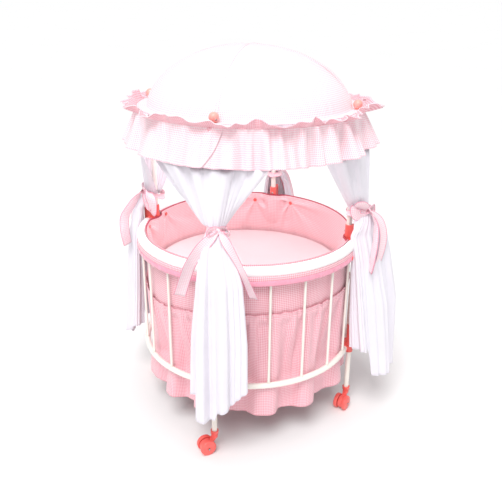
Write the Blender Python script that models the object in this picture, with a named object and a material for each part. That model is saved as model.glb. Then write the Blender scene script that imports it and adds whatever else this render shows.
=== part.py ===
"""Doll-size round crib: spindle sides on four posts, a fabric basin, a domed canopy and twin-wheel casters.

Metres, +Z up. The origin is on the floor under the centre of the crib. Angles are in degrees about +Z,
counted from the front (-Y) towards the right (+X).
"""
import math

import bmesh
import bpy
from mathutils import Matrix, Vector

# Driving dimensions
RAIL_RADIUS = 0.245          # centre line of the round rails
TUBE_RADIUS = 0.00635        # half-inch steel tube of the rails
POST_TUBE_RADIUS = 0.006     # legs and canopy poles
SPINDLE_RADIUS = 0.003
LEG_RING_RADIUS = 0.2536     # legs stand just outside the rails
POLE_RING_RADIUS = 0.2325    # poles stand just inside them
POST_ANGLES = {"front": -16.2, "right": 73.8, "back": 163.8, "left": 253.8}
SPINDLES_PER_PANEL = 5
SPINDLE_STEP = 18.0
Z_LOWER_RING = 0.167
Z_RAIL = 0.434
Z_LEG_BOTTOM = 0.0493
Z_POLE_TOP = 0.7217
Z_BASIN = 0.3235             # underside of the fabric basin's floor
Z_MATTRESS_TOP = 0.354
MATTRESS_RADIUS = 0.2205
Z_SKIRT_HEM = 0.0815
Z_VALANCE_HEM = 0.645
Z_GATHER = 0.7165            # where the valance is gathered onto the dome
DOME_RADIUS = 0.2233
DOME_HEIGHT = 0.1428
Z_DOME_CENTRE = 0.7036
Z_BRIM = 0.7235              # top of the dome's flat brim, clamped between poles and knobs
BRIM_RADIUS = 0.2403
Z_TIE = 0.515                # height of the curtain ties
Z_CURTAIN_TOP = 0.702
Z_CURTAIN_HEM = 0.118
CURTAIN_TOP_RADIUS = 0.2425
CURTAIN_SPREAD = 32.0        # half the angle that each curtain covers under the valance
CURTAIN_LEAN = -9.0          # and how far its middle lies to the left of its post
KNOB_RADIUS = 0.0103
Z_KNOB = 0.7330
WHEEL_RADIUS = 0.01775
AXLE_RADIUS = 0.002
WHEEL_OFFSET = 0.012         # each wheel's middle from the middle of its caster
CASTER_TRAIL = 0.020
CASTER_HEADINGS = {"front": -63.2, "right": -33.5, "back": -44.6, "left": 118.0}

# Clearances and wall thicknesses
GAP = 0.0003
TUBE_END_ANGLE = 2.4         # rails stop this far from each post
RAIL_SEGMENTS = 10
TUBE_SIDES = 8
POST_SIDES = 10
CLOTH = 0.0016
RIB_RADIUS = 0.0025           # bent canopy rods
RIB_CLEARANCE = 0.0016       # room between the cover's flat facets and the rods under it
ROUND_STEPS = 40             # every round shell has its corners at these steps, one of them at each post

COLOURS = {
    "coral_plastic": ((0.93, 0.19, 0.17), 0.32, 0.0),
    "white_steel": ((0.86, 0.83, 0.78), 0.35, 0.0),
    "pink_gingham": ((0.82, 0.42, 0.48), 0.85, 0.0),
    "white_roll": ((0.90, 0.87, 0.87), 0.70, 0.0),
    "sheer_white": ((0.90, 0.87, 0.90), 0.80, 0.0),
    "mattress_white": ((0.90, 0.78, 0.80), 0.85, 0.0),
    "fibreboard": ((0.45, 0.32, 0.20), 0.75, 0.0),
    "axle_steel": ((0.55, 0.55, 0.56), 0.30, 1.0),
}


def clear_scene():
    for obj in list(bpy.data.objects):
        bpy.data.objects.remove(obj, do_unlink=True)


def spot(angle, radius, z):
    """The point at an angle from the front, a radius from the centre and a height."""
    turn = math.radians(angle)
    return Vector((radius * math.sin(turn), -radius * math.cos(turn), z))


def make_material(name):
    colour, roughness, metallic = COLOURS[name]
    material = bpy.data.materials.get(name) or bpy.data.materials.new(name)
    material.use_nodes = True
    shader = material.node_tree.nodes["Principled BSDF"]
    shader.inputs["Base Color"].default_value = (*colour, 1.0)
    shader.inputs["Roughness"].default_value = roughness
    shader.inputs["Metallic"].default_value = metallic
    return material


def loft(bm, rings, closed=False):
    """Skin a row of equal-sized closed outlines, capping the ends unless the row closes on itself."""
    rows = [[bm.verts.new(point) for point in ring] for ring in rings]
    sides = len(rows[0])
    pairs = list(zip(rows, rows[1:]))
    if closed:
        pairs.append((rows[-1], rows[0]))
    else:
        bm.faces.new(reversed(rows[0]))
        bm.faces.new(rows[-1])
    for near, far in pairs:
        for i in range(sides):
            j = (i + 1) % sides
            bm.faces.new((near[i], near[j], far[j], far[i]))


def revolve(bm, profile, steps, start=POST_ANGLES["front"]):
    """Turn (radius, height) points about +Z. A profile whose ends lie on the axis closes there."""
    on_axis = profile[0][0] == 0.0
    middle = profile[1:-1] if on_axis else profile
    rows = []
    for i in range(steps):
        angle = start + 360 * i / steps
        rows.append([bm.verts.new(spot(angle, r, z)) for r, z in middle])
    if on_axis:
        first = bm.verts.new((0.0, 0.0, profile[0][1]))
        last = bm.verts.new((0.0, 0.0, profile[-1][1]))
    spans = len(middle) - 1 if on_axis else len(middle)
    for i in range(steps):
        near, far = rows[i], rows[(i + 1) % steps]
        for j in range(spans):
            k = (j + 1) % len(middle)
            bm.faces.new((near[j], near[k], far[k], far[j]))
        if on_axis:
            bm.faces.new((first, near[0], far[0]))
            bm.faces.new((near[-1], last, far[-1]))


def finish(name, bm, material, location=(0, 0, 0), turn=0.0, sharp_angle=40.0):
    """Make the bmesh into a smooth-shaded object with outward faces."""
    bmesh.ops.recalc_face_normals(bm, faces=bm.faces)
    mesh = bpy.data.meshes.new(name)
    bm.to_mesh(mesh)
    bm.free()
    mesh.shade_smooth()
    mesh.set_sharp_from_angle(angle=math.radians(sharp_angle))
    return place(name, mesh, material, location, turn)


def place(name, mesh, material, location=(0, 0, 0), turn=0.0):
    obj = bpy.data.objects.new(name, mesh)
    bpy.context.scene.collection.objects.link(obj)
    if not mesh.materials:
        mesh.materials.append(make_material(material))
    obj.location = location
    obj.rotation_euler.z = math.radians(turn)
    return obj


def helper(name, bm, owner):
    """A cutter or an operand of a Boolean, placed where its owner is."""
    obj = finish(name, bm, "coral_plastic", owner.location, math.degrees(owner.rotation_euler.z))
    obj.hide_render = True
    obj.display_type = "WIRE"
    return obj


def combine(obj, operation, other):
    modifier = obj.modifiers.new(operation.lower(), "BOOLEAN")
    modifier.operation = operation
    modifier.solver = "EXACT"
    modifier.object = other


def tube_ring(point, across, radius, sides):
    """A circle about a point, in the plane of +Z and a horizontal direction."""
    turns = [2 * math.pi * i / sides for i in range(sides)]
    return [point + radius * (math.cos(t) * across + math.sin(t) * Vector((0, 0, 1))) for t in turns]


def add_arc_tube(bm, start, stop, z, radius, segments):
    rings = []
    for i in range(segments + 1):
        angle = start + (stop - start) * i / segments
        outward = spot(angle, 1.0, 0.0)
        rings.append(tube_ring(spot(angle, RAIL_RADIUS, z), outward, radius, TUBE_SIDES))
    loft(bm, rings)


def add_upright(bm, point, radius, z_low, z_high, sides):
    turns = [2 * math.pi * i / sides for i in range(sides)]
    circle = [Vector((math.cos(t), math.sin(t), 0)) * radius for t in turns]
    base = Vector((point.x, point.y, 0))
    loft(bm, [[base + c + Vector((0, 0, z)) for c in circle] for z in (z_low, z_high)])


def make_panel(side, post_angle):
    """A quarter of the side frame: top rail, lower ring and the welded spindles between them."""
    bm = bmesh.new()
    for z in (Z_RAIL, Z_LOWER_RING):
        add_arc_tube(bm, post_angle + TUBE_END_ANGLE, post_angle + 90 - TUBE_END_ANGLE, z,
                     TUBE_RADIUS, RAIL_SEGMENTS)
    panel = finish(f"side_panel_{side}", bm, "white_steel")
    bm = bmesh.new()
    for i in range(SPINDLES_PER_PANEL):
        angle = post_angle + SPINDLE_STEP * (i + 0.5)
        add_upright(bm, spot(angle, RAIL_RADIUS, 0), SPINDLE_RADIUS, Z_LOWER_RING, Z_RAIL, 8)
    combine(panel, "UNION", helper(f"spindles_{side}", bm, panel))


def make_post(side, angle):
    """A leg up to the top rail, and above it the canopy pole."""
    bm = bmesh.new()
    add_upright(bm, spot(angle, LEG_RING_RADIUS, 0), POST_TUBE_RADIUS, Z_LEG_BOTTOM, Z_RAIL + 0.004, POST_SIDES)
    finish(f"leg_{side}", bm, "white_steel")
    bm = bmesh.new()
    add_upright(bm, spot(angle, POLE_RING_RADIUS, 0), POST_TUBE_RADIUS, Z_RAIL + 0.0083, Z_POLE_TOP, POST_SIDES)
    finish(f"canopy_pole_{side}", bm, "white_steel")


def sleeve_ring(angle, inner, outer, radius, z, sides=12):
    """A rounded slot outline at one height, reaching from the inner to the outer tube's centre."""
    outward = spot(angle, 1.0, 0.0)
    across = spot(angle + 90, 1.0, 0.0)
    points = []
    for i in range(sides):
        turn = 2 * math.pi * (i + 0.5) / sides
        centre = outer if math.cos(turn) > 0 else inner
        points.append(spot(angle, centre, z) + radius * (math.cos(turn) * outward + math.sin(turn) * across))
    return points


def add_rail_stubs(bm, angle, z, reach, radius):
    """The sideways sleeve that takes the ends of two neighbouring rails."""
    rings = []
    for along in (-reach, 0.0, reach):
        place_angle = angle + math.degrees(along / RAIL_RADIUS)
        rings.append(tube_ring(spot(place_angle, RAIL_RADIUS, z), spot(place_angle, 1.0, 0.0), radius, 10))
    loft(bm, rings)


def connector_cutter(name, owner, angle, z, pockets):
    """Pockets for both rail ends and for upright tubes given as (radius, low, high)."""
    bm = bmesh.new()
    step = (90 - 2 * TUBE_END_ANGLE) / RAIL_SEGMENTS
    slack = math.degrees(GAP / RAIL_RADIUS)
    for way in (-1, 1):
        start = angle + way * (TUBE_END_ANGLE - slack)
        stop = angle + way * (TUBE_END_ANGLE + step)
        add_arc_tube(bm, start, stop, z, TUBE_RADIUS + GAP, 1)
    for radius, low, high in pockets:
        add_upright(bm, spot(angle, radius, 0), POST_TUBE_RADIUS + GAP, low, high, POST_SIDES)
    return helper(name, bm, owner)


def make_lower_connector(side, angle):
    """A tall sleeve on the leg, with the lower ring's ends pushed into its foot."""
    bm = bmesh.new()
    levels = ((-0.016, 0.0088), (0.012, 0.0088), (0.055, 0.0078))
    rings = [sleeve_ring(angle, LEG_RING_RADIUS, LEG_RING_RADIUS, r, Z_LOWER_RING + z) for z, r in levels]
    loft(bm, rings)
    connector = finish(f"lower_connector_{side}", bm, "coral_plastic")
    bm = bmesh.new()
    add_rail_stubs(bm, angle, Z_LOWER_RING, 0.019, 0.0088)
    combine(connector, "UNION", helper(f"lower_stub_{side}", bm, connector))
    through = [(LEG_RING_RADIUS, Z_LOWER_RING - 0.03, Z_LOWER_RING + 0.07)]
    combine(connector, "DIFFERENCE",
            connector_cutter(f"lower_pockets_{side}", connector, angle, Z_LOWER_RING, through))


def make_upper_connector(side, angle):
    """Joins the leg from below, the canopy pole from above and the rails from both sides."""
    bm = bmesh.new()
    levels = ((-0.014, 0.0086), (0.0345, 0.0086), (0.037, 0.0076))
    rings = [sleeve_ring(angle, POLE_RING_RADIUS, LEG_RING_RADIUS, r, Z_RAIL + z) for z, r in levels]
    loft(bm, rings)
    connector = finish(f"upper_connector_{side}", bm, "coral_plastic")
    bm = bmesh.new()
    add_rail_stubs(bm, angle, Z_RAIL, 0.019, 0.0088)
    combine(connector, "UNION", helper(f"upper_stub_{side}", bm, connector))
    pockets = [(LEG_RING_RADIUS, Z_RAIL - 0.03, Z_RAIL + 0.004 + GAP),
               (POLE_RING_RADIUS, Z_RAIL + 0.0083 - GAP, Z_RAIL + 0.06)]
    combine(connector, "DIFFERENCE",
            connector_cutter(f"upper_pockets_{side}", connector, angle, Z_RAIL, pockets))


def make_knob(side, angle):
    """A ball knob with a flat foot that clamps the canopy's brim onto the pole."""
    bm = bmesh.new()
    foot = Z_BRIM + GAP - Z_KNOB
    low = math.asin(foot / KNOB_RADIUS)
    turns = [low + (math.pi / 2 - low) * i / 6 for i in range(7)]
    profile = [(0.0, foot)] + [(KNOB_RADIUS * math.cos(t), KNOB_RADIUS * math.sin(t)) for t in turns[:-1]]
    revolve(bm, profile + [(0.0, KNOB_RADIUS)], 12)
    finish(f"knob_{side}", bm, "coral_plastic", spot(angle, POLE_RING_RADIUS, Z_KNOB))


def make_caster(side, angle):
    """Socket on the leg, swivelling housing, axle and two wheels. Local -Y is the way it trails."""
    foot = spot(angle, LEG_RING_RADIUS, 0)
    heading = CASTER_HEADINGS[side]
    z_socket = 0.0415
    z_top = 0.0515
    stem_radius = 0.0023
    bm = bmesh.new()
    bore = POST_TUBE_RADIUS + GAP
    floor = Z_LEG_BOTTOM - GAP
    socket = [(stem_radius + GAP, z_socket), (0.0074, z_socket), (0.0087, z_socket + 0.0020),
              (0.0087, z_top), (bore, z_top), (bore, floor), (stem_radius + GAP, floor)]
    revolve(bm, socket, 12)
    finish(f"caster_socket_{side}", bm, "coral_plastic", foot)

    make_housing(side, foot, heading, z_socket, stem_radius)
    turn = math.radians(heading)
    trail = Vector((math.sin(turn), -math.cos(turn), 0)) * CASTER_TRAIL
    hub = foot + trail + Vector((0, 0, WHEEL_RADIUS))
    bm = bmesh.new()
    end = WHEEL_OFFSET + 0.0067
    chamfer = 0.0005
    axle = [(0.0, -end), (AXLE_RADIUS, chamfer - end), (AXLE_RADIUS, end - chamfer), (0.0, end)]
    revolve(bm, axle, 8)
    bmesh.ops.transform(bm, matrix=Matrix.Rotation(math.pi / 2, 4, "Y"), verts=bm.verts)
    finish(f"axle_{side}", bm, "axle_steel", hub, heading)
    for tag, way in (("a", 1), ("b", -1)):
        make_wheel(f"wheel_{side}_{tag}", hub, heading, way)


def housing_outline():
    """The hood's side view as (y, z) points: a round shell over the axle and a neck up to the swivel."""
    shell = 0.0152
    arc = []
    for i in range(8):
        turn = math.radians(60 + 155 * i / 7)
        arc.append((-CASTER_TRAIL + shell * math.cos(turn), WHEEL_RADIUS + shell * math.sin(turn)))
    neck_top = [(0.0058, 0.0375), (-0.0060, 0.0375)]
    underside = [(-0.0200, 0.0105), (-0.0130, 0.0120), (-0.0050, 0.0225), (0.0045, 0.0320)]
    return neck_top + arc + underside


def make_housing(side, foot, heading, z_socket, stem_radius):
    """The hood between the wheels, with its collar and the stem that turns in the socket."""
    half = 0.0054
    outline = housing_outline()
    bm = bmesh.new()
    loft(bm, [[Vector((x, y, z)) for y, z in outline] for x in (-half, half)])
    housing = finish(f"caster_housing_{side}", bm, "coral_plastic", foot, heading)
    bm = bmesh.new()
    top = z_socket - GAP
    stem_top = Z_LEG_BOTTOM - 2 * GAP
    collar = [(0.0, 0.0345), (0.0068, 0.0345), (0.0074, top), (stem_radius, top),
              (stem_radius, stem_top), (0.0, stem_top)]
    revolve(bm, collar, 10)
    combine(housing, "UNION", helper(f"caster_stem_{side}", bm, housing))
    bm = bmesh.new()
    revolve(bm, [(0.0, -0.01), (AXLE_RADIUS + GAP, -0.01), (AXLE_RADIUS + GAP, 0.01), (0.0, 0.01)], 8)
    bmesh.ops.transform(bm, matrix=Matrix.Rotation(math.pi / 2, 4, "Y"), verts=bm.verts)
    bmesh.ops.translate(bm, verts=bm.verts, vec=(0, -CASTER_TRAIL, WHEEL_RADIUS))
    combine(housing, "DIFFERENCE", helper(f"axle_hole_{side}", bm, housing))


def make_wheel(name, hub, heading, way):
    """A disc wheel with a crowned outer face, standing on one of the flats of its faceted tread.

    way is +1 or -1, the side of the caster that the wheel is on.
    """
    steps = 20
    half_step = 180 / steps
    bore = AXLE_RADIUS + GAP
    tread = WHEEL_RADIUS / math.cos(math.radians(half_step))
    profile = [(bore, -0.0050), (0.0158, -0.0050), (tread, -0.0025), (tread, 0.0015), (0.0160, 0.0040),
               (bore, 0.0056)]
    bm = bmesh.new()
    revolve(bm, profile, steps, start=half_step)
    bmesh.ops.transform(bm, matrix=Matrix.Rotation(way * math.pi / 2, 4, "Y"), verts=bm.verts)
    sideways = Matrix.Rotation(math.radians(heading), 3, "Z") @ Vector((way * WHEEL_OFFSET, 0, 0))
    finish(name, bm, "coral_plastic", hub + sideways, heading)


def make_rib(name, angle, drop):
    """A bent canopy rod between two opposite poles, under the cover. drop lowers its crown."""
    inset = CLOTH + RIB_CLEARANCE + RIB_RADIUS
    reach = DOME_RADIUS - inset
    rise = DOME_HEIGHT - inset - drop
    half = []
    for i in range(11):
        turn = math.radians(90 * i / 10)
        half.append((reach * math.sin(turn), Z_DOME_CENTRE + rise * math.cos(turn)))
    half += [(reach + 0.0012, Z_DOME_CENTRE - 0.0045), (POLE_RING_RADIUS - POST_TUBE_RADIUS - GAP, 0.6965)]
    path = [(-r, z) for r, z in reversed(half[1:])] + half
    outward = spot(angle, 1.0, 0.0)
    across = spot(angle + 90, 1.0, 0.0)
    points = [r * outward + Vector((0, 0, z)) for r, z in path]
    bm = bmesh.new()
    rings = []
    for i, point in enumerate(points):
        along = (points[min(i + 1, len(points) - 1)] - points[max(i - 1, 0)]).normalized()
        if i in (0, len(points) - 1):
            along = outward
        up = across.cross(along)
        turns = [2 * math.pi * k / 6 for k in range(6)]
        rings.append([point + RIB_RADIUS * (math.cos(t) * across + math.sin(t) * up) for t in turns])
    loft(bm, rings)
    finish(name, bm, "white_steel")


def make_cover():
    """The dome's cloth with its flat brim, as a shell that is open below."""
    turns = [math.pi / 2 * i / 9 for i in range(9, 0, -1)]
    low = math.asin((Z_BRIM - Z_DOME_CENTRE) / DOME_HEIGHT)
    turns = [t for t in turns if t > low + 0.05] + [low]
    outer = [(DOME_RADIUS * math.cos(t), Z_DOME_CENTRE + DOME_HEIGHT * math.sin(t)) for t in turns]
    inner = [((DOME_RADIUS - CLOTH) * math.cos(t), Z_DOME_CENTRE + (DOME_HEIGHT - CLOTH) * math.sin(t))
             for t in turns[:-1]]
    brim_low = Z_BRIM - CLOTH + GAP
    brim = [(BRIM_RADIUS, Z_BRIM), (BRIM_RADIUS, brim_low), (outer[-1][0] - CLOTH, brim_low)]
    profile = [(0.0, outer[0][1])] + outer[1:] + brim + inner[:0:-1] + [(0.0, inner[0][1])]
    bm = bmesh.new()
    revolve(bm, profile, ROUND_STEPS)
    finish("canopy_cover", bm, "pink_gingham")


def make_valance():
    """The deep frill round the dome, with the short header that stands up above its gathers."""
    gather = BRIM_RADIUS + 0.0009
    profile = [(gather, Z_GATHER), (0.2440, 0.7000), (0.2720, Z_VALANCE_HEM),
               (0.2740, Z_VALANCE_HEM), (0.2470, 0.7010), (gather + 0.0030, Z_GATHER + 0.0015),
               (0.2620, 0.7400), (0.2600, 0.7415), (gather, Z_GATHER + 0.0065)]
    bm = bmesh.new()
    revolve(bm, profile, ROUND_STEPS)
    finish("canopy_valance", bm, "pink_gingham")


def liner_top(angle):
    """The liner's top edge, which drops below the connector at each post."""
    notch = 5.3
    away = min(abs((angle - post + 180) % 360 - 180) for post in POST_ANGLES.values())
    return 0.4165 if away < notch else 0.4460


def make_liner():
    """The fabric basin: a round wall hung from the rails and the floor sewn to it."""
    outer = 0.2372
    wall = outer - CLOTH
    angles = []
    first = POST_ANGLES["front"]
    for quarter in range(4):
        angles += [first + 90 * quarter + away for away in (-5.6, -5.0, 0.0, 5.0, 5.6)]
        angles += [first + 90 * quarter + 9 * i for i in range(1, 10)]
    bm = bmesh.new()
    crown = [bm.verts.new((0, 0, z)) for z in (Z_BASIN, Z_BASIN + CLOTH)]
    rows = []
    for angle in angles:
        top = liner_top(angle)
        corners = [(outer, Z_BASIN), (outer, top), (wall, top), (wall, Z_BASIN + CLOTH)]
        rows.append([bm.verts.new(spot(angle, r, z)) for r, z in corners])
    for near, far in zip(rows, rows[1:] + rows[:1]):
        for j in range(3):
            bm.faces.new((near[j], near[j + 1], far[j + 1], far[j]))
        bm.faces.new((crown[0], near[0], far[0]))
        bm.faces.new((near[3], crown[1], far[3]))
    finish("liner_basin", bm, "pink_gingham")


def make_skirt():
    """The gathered skirt, sewn to the basin's edge and hanging inside the lower ring."""
    profile = [(0.2385, 0.3340), (0.2385, Z_BASIN - 0.004), (0.2325, 0.1720), (0.2325, 0.1500),
               (0.2375, Z_SKIRT_HEM), (0.2395, Z_SKIRT_HEM), (0.2345, 0.1500), (0.2345, 0.1720),
               (0.2402, Z_BASIN - 0.004), (0.2408, 0.3340)]
    bm = bmesh.new()
    revolve(bm, profile, ROUND_STEPS)
    finish("skirt", bm, "pink_gingham")


def make_board_and_mattress():
    thickness = 0.004
    low = Z_BASIN + CLOTH + GAP
    bm = bmesh.new()
    radius = MATTRESS_RADIUS + 0.0015
    revolve(bm, [(0.0, low), (radius, low), (radius, low + thickness), (0.0, low + thickness)], ROUND_STEPS)
    finish("base_board", bm, "fibreboard")
    low += thickness + GAP
    top = Z_MATTRESS_TOP
    edge = 0.006
    profile = [(0.0, low), (MATTRESS_RADIUS - edge, low), (MATTRESS_RADIUS, low + edge),
               (MATTRESS_RADIUS, top - edge), (MATTRESS_RADIUS - edge, top), (0.0, top)]
    bm = bmesh.new()
    revolve(bm, profile, ROUND_STEPS)
    finish("mattress", bm, "mattress_white")


def make_cuff(side, post_angle):
    """The padded roll over a quarter of the rail, with the flap that hangs outside the spindles."""
    inner, outer = TUBE_RADIUS + 0.0012, 0.0106
    section = []
    reach = 128
    for i in range(4):
        turn = math.radians(reach * i / 3)
        section.append((inner * math.cos(turn), inner * math.sin(turn)))
    for i in range(5):
        turn = math.radians(reach - reach * i / 4)
        section.append((outer * math.cos(turn), outer * math.sin(turn)))
    flap_drop = -0.0275
    section += [(0.0112, flap_drop), (0.0088, flap_drop), (0.0078, -0.0040)]
    bm = bmesh.new()
    rings = []
    start, stop = post_angle + 5.2, post_angle + 90 - 5.2
    for i in range(10):
        angle = start + (stop - start) * i / 9
        rings.append([spot(angle, RAIL_RADIUS + r, Z_RAIL + z) for r, z in section])
    loft(bm, rings)
    finish(f"rail_cuff_{side}", bm, "white_roll")


def curtain_point(angle, across, z):
    """A point of the curtain's outer surface. across runs from -1 to 1 over the cloth's width."""
    curl = math.radians(140)
    levels = [(Z_CURTAIN_TOP, 0.2560, 0.0130, 0.0160), (Z_TIE, 0.2565, 0.0125, 0.0150),
              (0.478, 0.2765, 0.0150, 0.0300), (Z_RAIL, 0.2815, 0.0185, 0.0420),
              (0.330, 0.2890, 0.0270, 0.0520), (Z_CURTAIN_HEM, 0.2980, 0.0370, 0.0570)]
    for (z_high, *high), (z_low, *low) in zip(levels, levels[1:]):
        if z >= z_low:
            share = (z_high - z) / (z_high - z_low)
            middle, depth, width = (a + (b - a) * share for a, b in zip(high, low))
            break
    turn = curl * across
    outward = middle + depth * math.cos(turn)
    sideways = width * math.sin(turn)
    fan = max(0.0, (z - Z_TIE) / (Z_CURTAIN_TOP - Z_TIE))
    bundle = outward * spot(angle, 1, 0) + sideways * spot(angle + 90, 1, 0)
    sheet = spot(angle + CURTAIN_LEAN + CURTAIN_SPREAD * across, CURTAIN_TOP_RADIUS, 0)
    return bundle.lerp(sheet, fan) + Vector((0, 0, z))


def make_curtain(side, angle):
    """A sheer curtain: fanned out under the valance, pulled in at its tie, flared out below."""
    heights = [Z_CURTAIN_TOP, 0.650, 0.600, 0.550, Z_TIE, 0.478, Z_RAIL, 0.330, Z_CURTAIN_HEM]
    steps = 8
    rings = []
    for z in heights:
        outer = [curtain_point(angle, -1 + 2 * i / steps, z) for i in range(steps + 1)]
        inner = []
        for i, point in enumerate(outer):
            along = outer[min(i + 1, steps)] - outer[max(i - 1, 0)]
            inward = Vector((0, 0, 1)).cross(along).normalized()
            inner.append(point + CLOTH * inward)
        rings.append(outer + inner[::-1])
    bm = bmesh.new()
    loft(bm, rings)
    finish(f"curtain_{side}", bm, "sheer_white")


def main():
    clear_scene()
    for side, angle in POST_ANGLES.items():
        make_post(side, angle)
        make_panel(side, angle)
        make_cuff(side, angle)
        make_lower_connector(side, angle)
        make_upper_connector(side, angle)
        make_knob(side, angle)
        make_caster(side, angle)
        make_curtain(side, angle)
    crossing = 2 * RIB_RADIUS + 2 * GAP
    make_rib("canopy_rib_upper", POST_ANGLES["front"], 0.0)
    make_rib("canopy_rib_lower", POST_ANGLES["right"], crossing)
    make_cover()
    make_valance()
    make_liner()
    make_skirt()
    make_board_and_mattress()


main()
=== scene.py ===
import math

import bmesh
import bpy
import numpy as np
from mathutils import Matrix, Vector


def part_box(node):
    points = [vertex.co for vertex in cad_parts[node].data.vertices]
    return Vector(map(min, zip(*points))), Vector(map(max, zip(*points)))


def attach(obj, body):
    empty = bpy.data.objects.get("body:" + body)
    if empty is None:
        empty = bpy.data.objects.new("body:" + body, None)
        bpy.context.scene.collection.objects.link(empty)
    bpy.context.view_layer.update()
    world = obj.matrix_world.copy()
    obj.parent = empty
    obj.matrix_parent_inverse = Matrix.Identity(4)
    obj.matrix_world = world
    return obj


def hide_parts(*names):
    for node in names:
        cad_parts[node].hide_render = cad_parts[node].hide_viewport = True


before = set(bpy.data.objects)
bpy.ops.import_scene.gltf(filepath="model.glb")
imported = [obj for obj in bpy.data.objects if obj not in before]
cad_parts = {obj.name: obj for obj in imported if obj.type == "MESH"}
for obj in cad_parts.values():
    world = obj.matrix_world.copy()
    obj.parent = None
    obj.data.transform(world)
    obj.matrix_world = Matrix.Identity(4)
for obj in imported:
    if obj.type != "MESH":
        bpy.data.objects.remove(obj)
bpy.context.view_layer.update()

SIDES = ("front", "right", "back", "left")
RAIL_R = 0.245
TUBE = 0.00635               # radius of the rail's and the lower ring's tube
POST_TUBE = 0.006            # radius of the legs' and poles' tube
SPINDLE = 0.0029             # radius of a spindle
SPINDLES = 5                 # in each side panel
RAIL_GAP = 2.4               # degrees from a post to the end of a rail
STUDS = (-12.0, 12.0)        # degrees from a post to the press studs beside it
CHECK = 0.0041               # one repeat of the gingham
CLOTH_UV = "Cloth"


def middle(node):
    low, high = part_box(node)
    return (low + high) / 2


def angle_of(point):
    return math.degrees(math.atan2(point.x, -point.y))


def spot(angle, radius, z=0.0):
    turn = math.radians(angle)
    return Vector((radius * math.sin(turn), -radius * math.cos(turn), z))


def signed(angle):
    """Angles in degrees, brought between -180 and 180."""
    return (np.asarray(angle, float) + 180) % 360 - 180


def polar(angle, radius, z):
    """Points from arrays of angles in degrees, radii and heights."""
    angle, radius, z = np.broadcast_arrays(np.radians(angle), radius, z)
    return np.stack([radius * np.sin(angle), -radius * np.cos(angle), z], -1)


POST = {side: angle_of(middle(f"leg_{side}")) for side in SIDES}
LEG_R = middle("leg_front").xy.length
POLE_R = middle("canopy_pole_front").xy.length
RAIL_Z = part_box("side_panel_front")[1].z - TUBE
RING_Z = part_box("side_panel_front")[0].z + TUBE
SEAM_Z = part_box("liner_basin")[0].z
LINER_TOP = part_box("liner_basin")[1].z
SKIRT_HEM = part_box("skirt")[0].z
BRIM_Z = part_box("canopy_cover")[0].z + 0.0012
DOME_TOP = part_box("canopy_cover")[1].z
VALANCE_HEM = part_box("canopy_valance")[0].z
CURTAIN_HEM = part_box("curtain_front")[0].z
CURTAIN_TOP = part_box("curtain_front")[1].z
GATHER_Z = 0.7165            # the valance's gather line
GATHER_R = 0.2418
LINER_OUT = 0.2368           # the basin wall's two faces
LINER_IN = 0.2350
SNAP_Z = LINER_TOP - 0.0145  # the press studs inside the liner


# ---------------------------------------------------------------- meshes

def add_object(name, data):
    obj = bpy.data.objects.new(name, data)
    bpy.context.scene.collection.objects.link(obj)
    return obj


def mesh_object(name, points, faces, material):
    mesh = bpy.data.meshes.new(name)
    mesh.from_pydata([tuple(p) for p in points], [], faces)
    mesh.materials.append(material)
    mesh.shade_smooth()
    return add_object(name, mesh)


def grid(name, points, material, closed=False, uv=None, thickness=0.0, caps=False, offset=0.0):
    """A surface through rows of points. closed joins each row's end to its start.

    uv is in metres of cloth, caps close the first and last row, and offset moves the thickness to one side.
    """
    rows, cols = points.shape[:2]
    index = np.arange(rows * cols).reshape(rows, cols)
    nxt = np.roll(index, -1, axis=1)
    last = cols if closed else cols - 1
    corners = [index[:-1, :last], nxt[:-1, :last], nxt[1:, :last], index[1:, :last]]
    faces = np.stack(corners, -1).reshape(-1, 4).tolist()
    if caps:
        faces += [index[0, ::-1].tolist(), index[-1].tolist()]
    obj = mesh_object(name, points.reshape(-1, 3), faces, material)
    if uv is not None:
        layer = obj.data.uv_layers.new(name=CLOTH_UV)
        corner = np.stack([uv[:-1, :last], uv[:-1, 1:last + 1], uv[1:, 1:last + 1], uv[1:, :last]], 2)
        values = np.zeros(len(obj.data.loops) * 2, np.float32)
        values[:corner.size] = corner.reshape(-1)
        layer.data.foreach_set("uv", values)
    if thickness:
        solid = obj.modifiers.new("thickness", "SOLIDIFY")
        solid.thickness = thickness
        solid.offset = offset
    return obj


def flat_uv(points, closed=False):
    """Where each point lies on the flat cloth, in metres.

    Each step across is as wide as in its widest row, and each step down as long as the mean over its row.
    """
    wrapped = np.concatenate([points, points[:, :1]], 1) if closed else points
    across = np.linalg.norm(np.diff(wrapped, axis=1), axis=2).max(0)
    down = np.linalg.norm(np.diff(points, axis=0), axis=2).mean(1)
    u = np.concatenate([[0.0], np.cumsum(across)])
    v = np.concatenate([[0.0], np.cumsum(down)])
    if closed:
        u *= round(u[-1] / CHECK) * CHECK / u[-1]
    return np.stack(np.meshgrid(u, v), -1)


def ease(x, low=0.0, high=1.0):
    """A smooth step from 0 to 1 between low and high."""
    t = np.clip((np.asarray(x, float) - low) / (high - low), 0, 1)
    return t * t * (3 - 2 * t)


def ripple(angle, waves, seed):
    """A wave round the whole circle. waves lists (count per turn, amount)."""
    draw = np.random.default_rng(seed)
    total = np.zeros(np.shape(angle))
    for count, amount in waves:
        total = total + amount * np.sin(np.radians(angle) * count + draw.uniform(0, 2 * math.pi))
    return total


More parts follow.
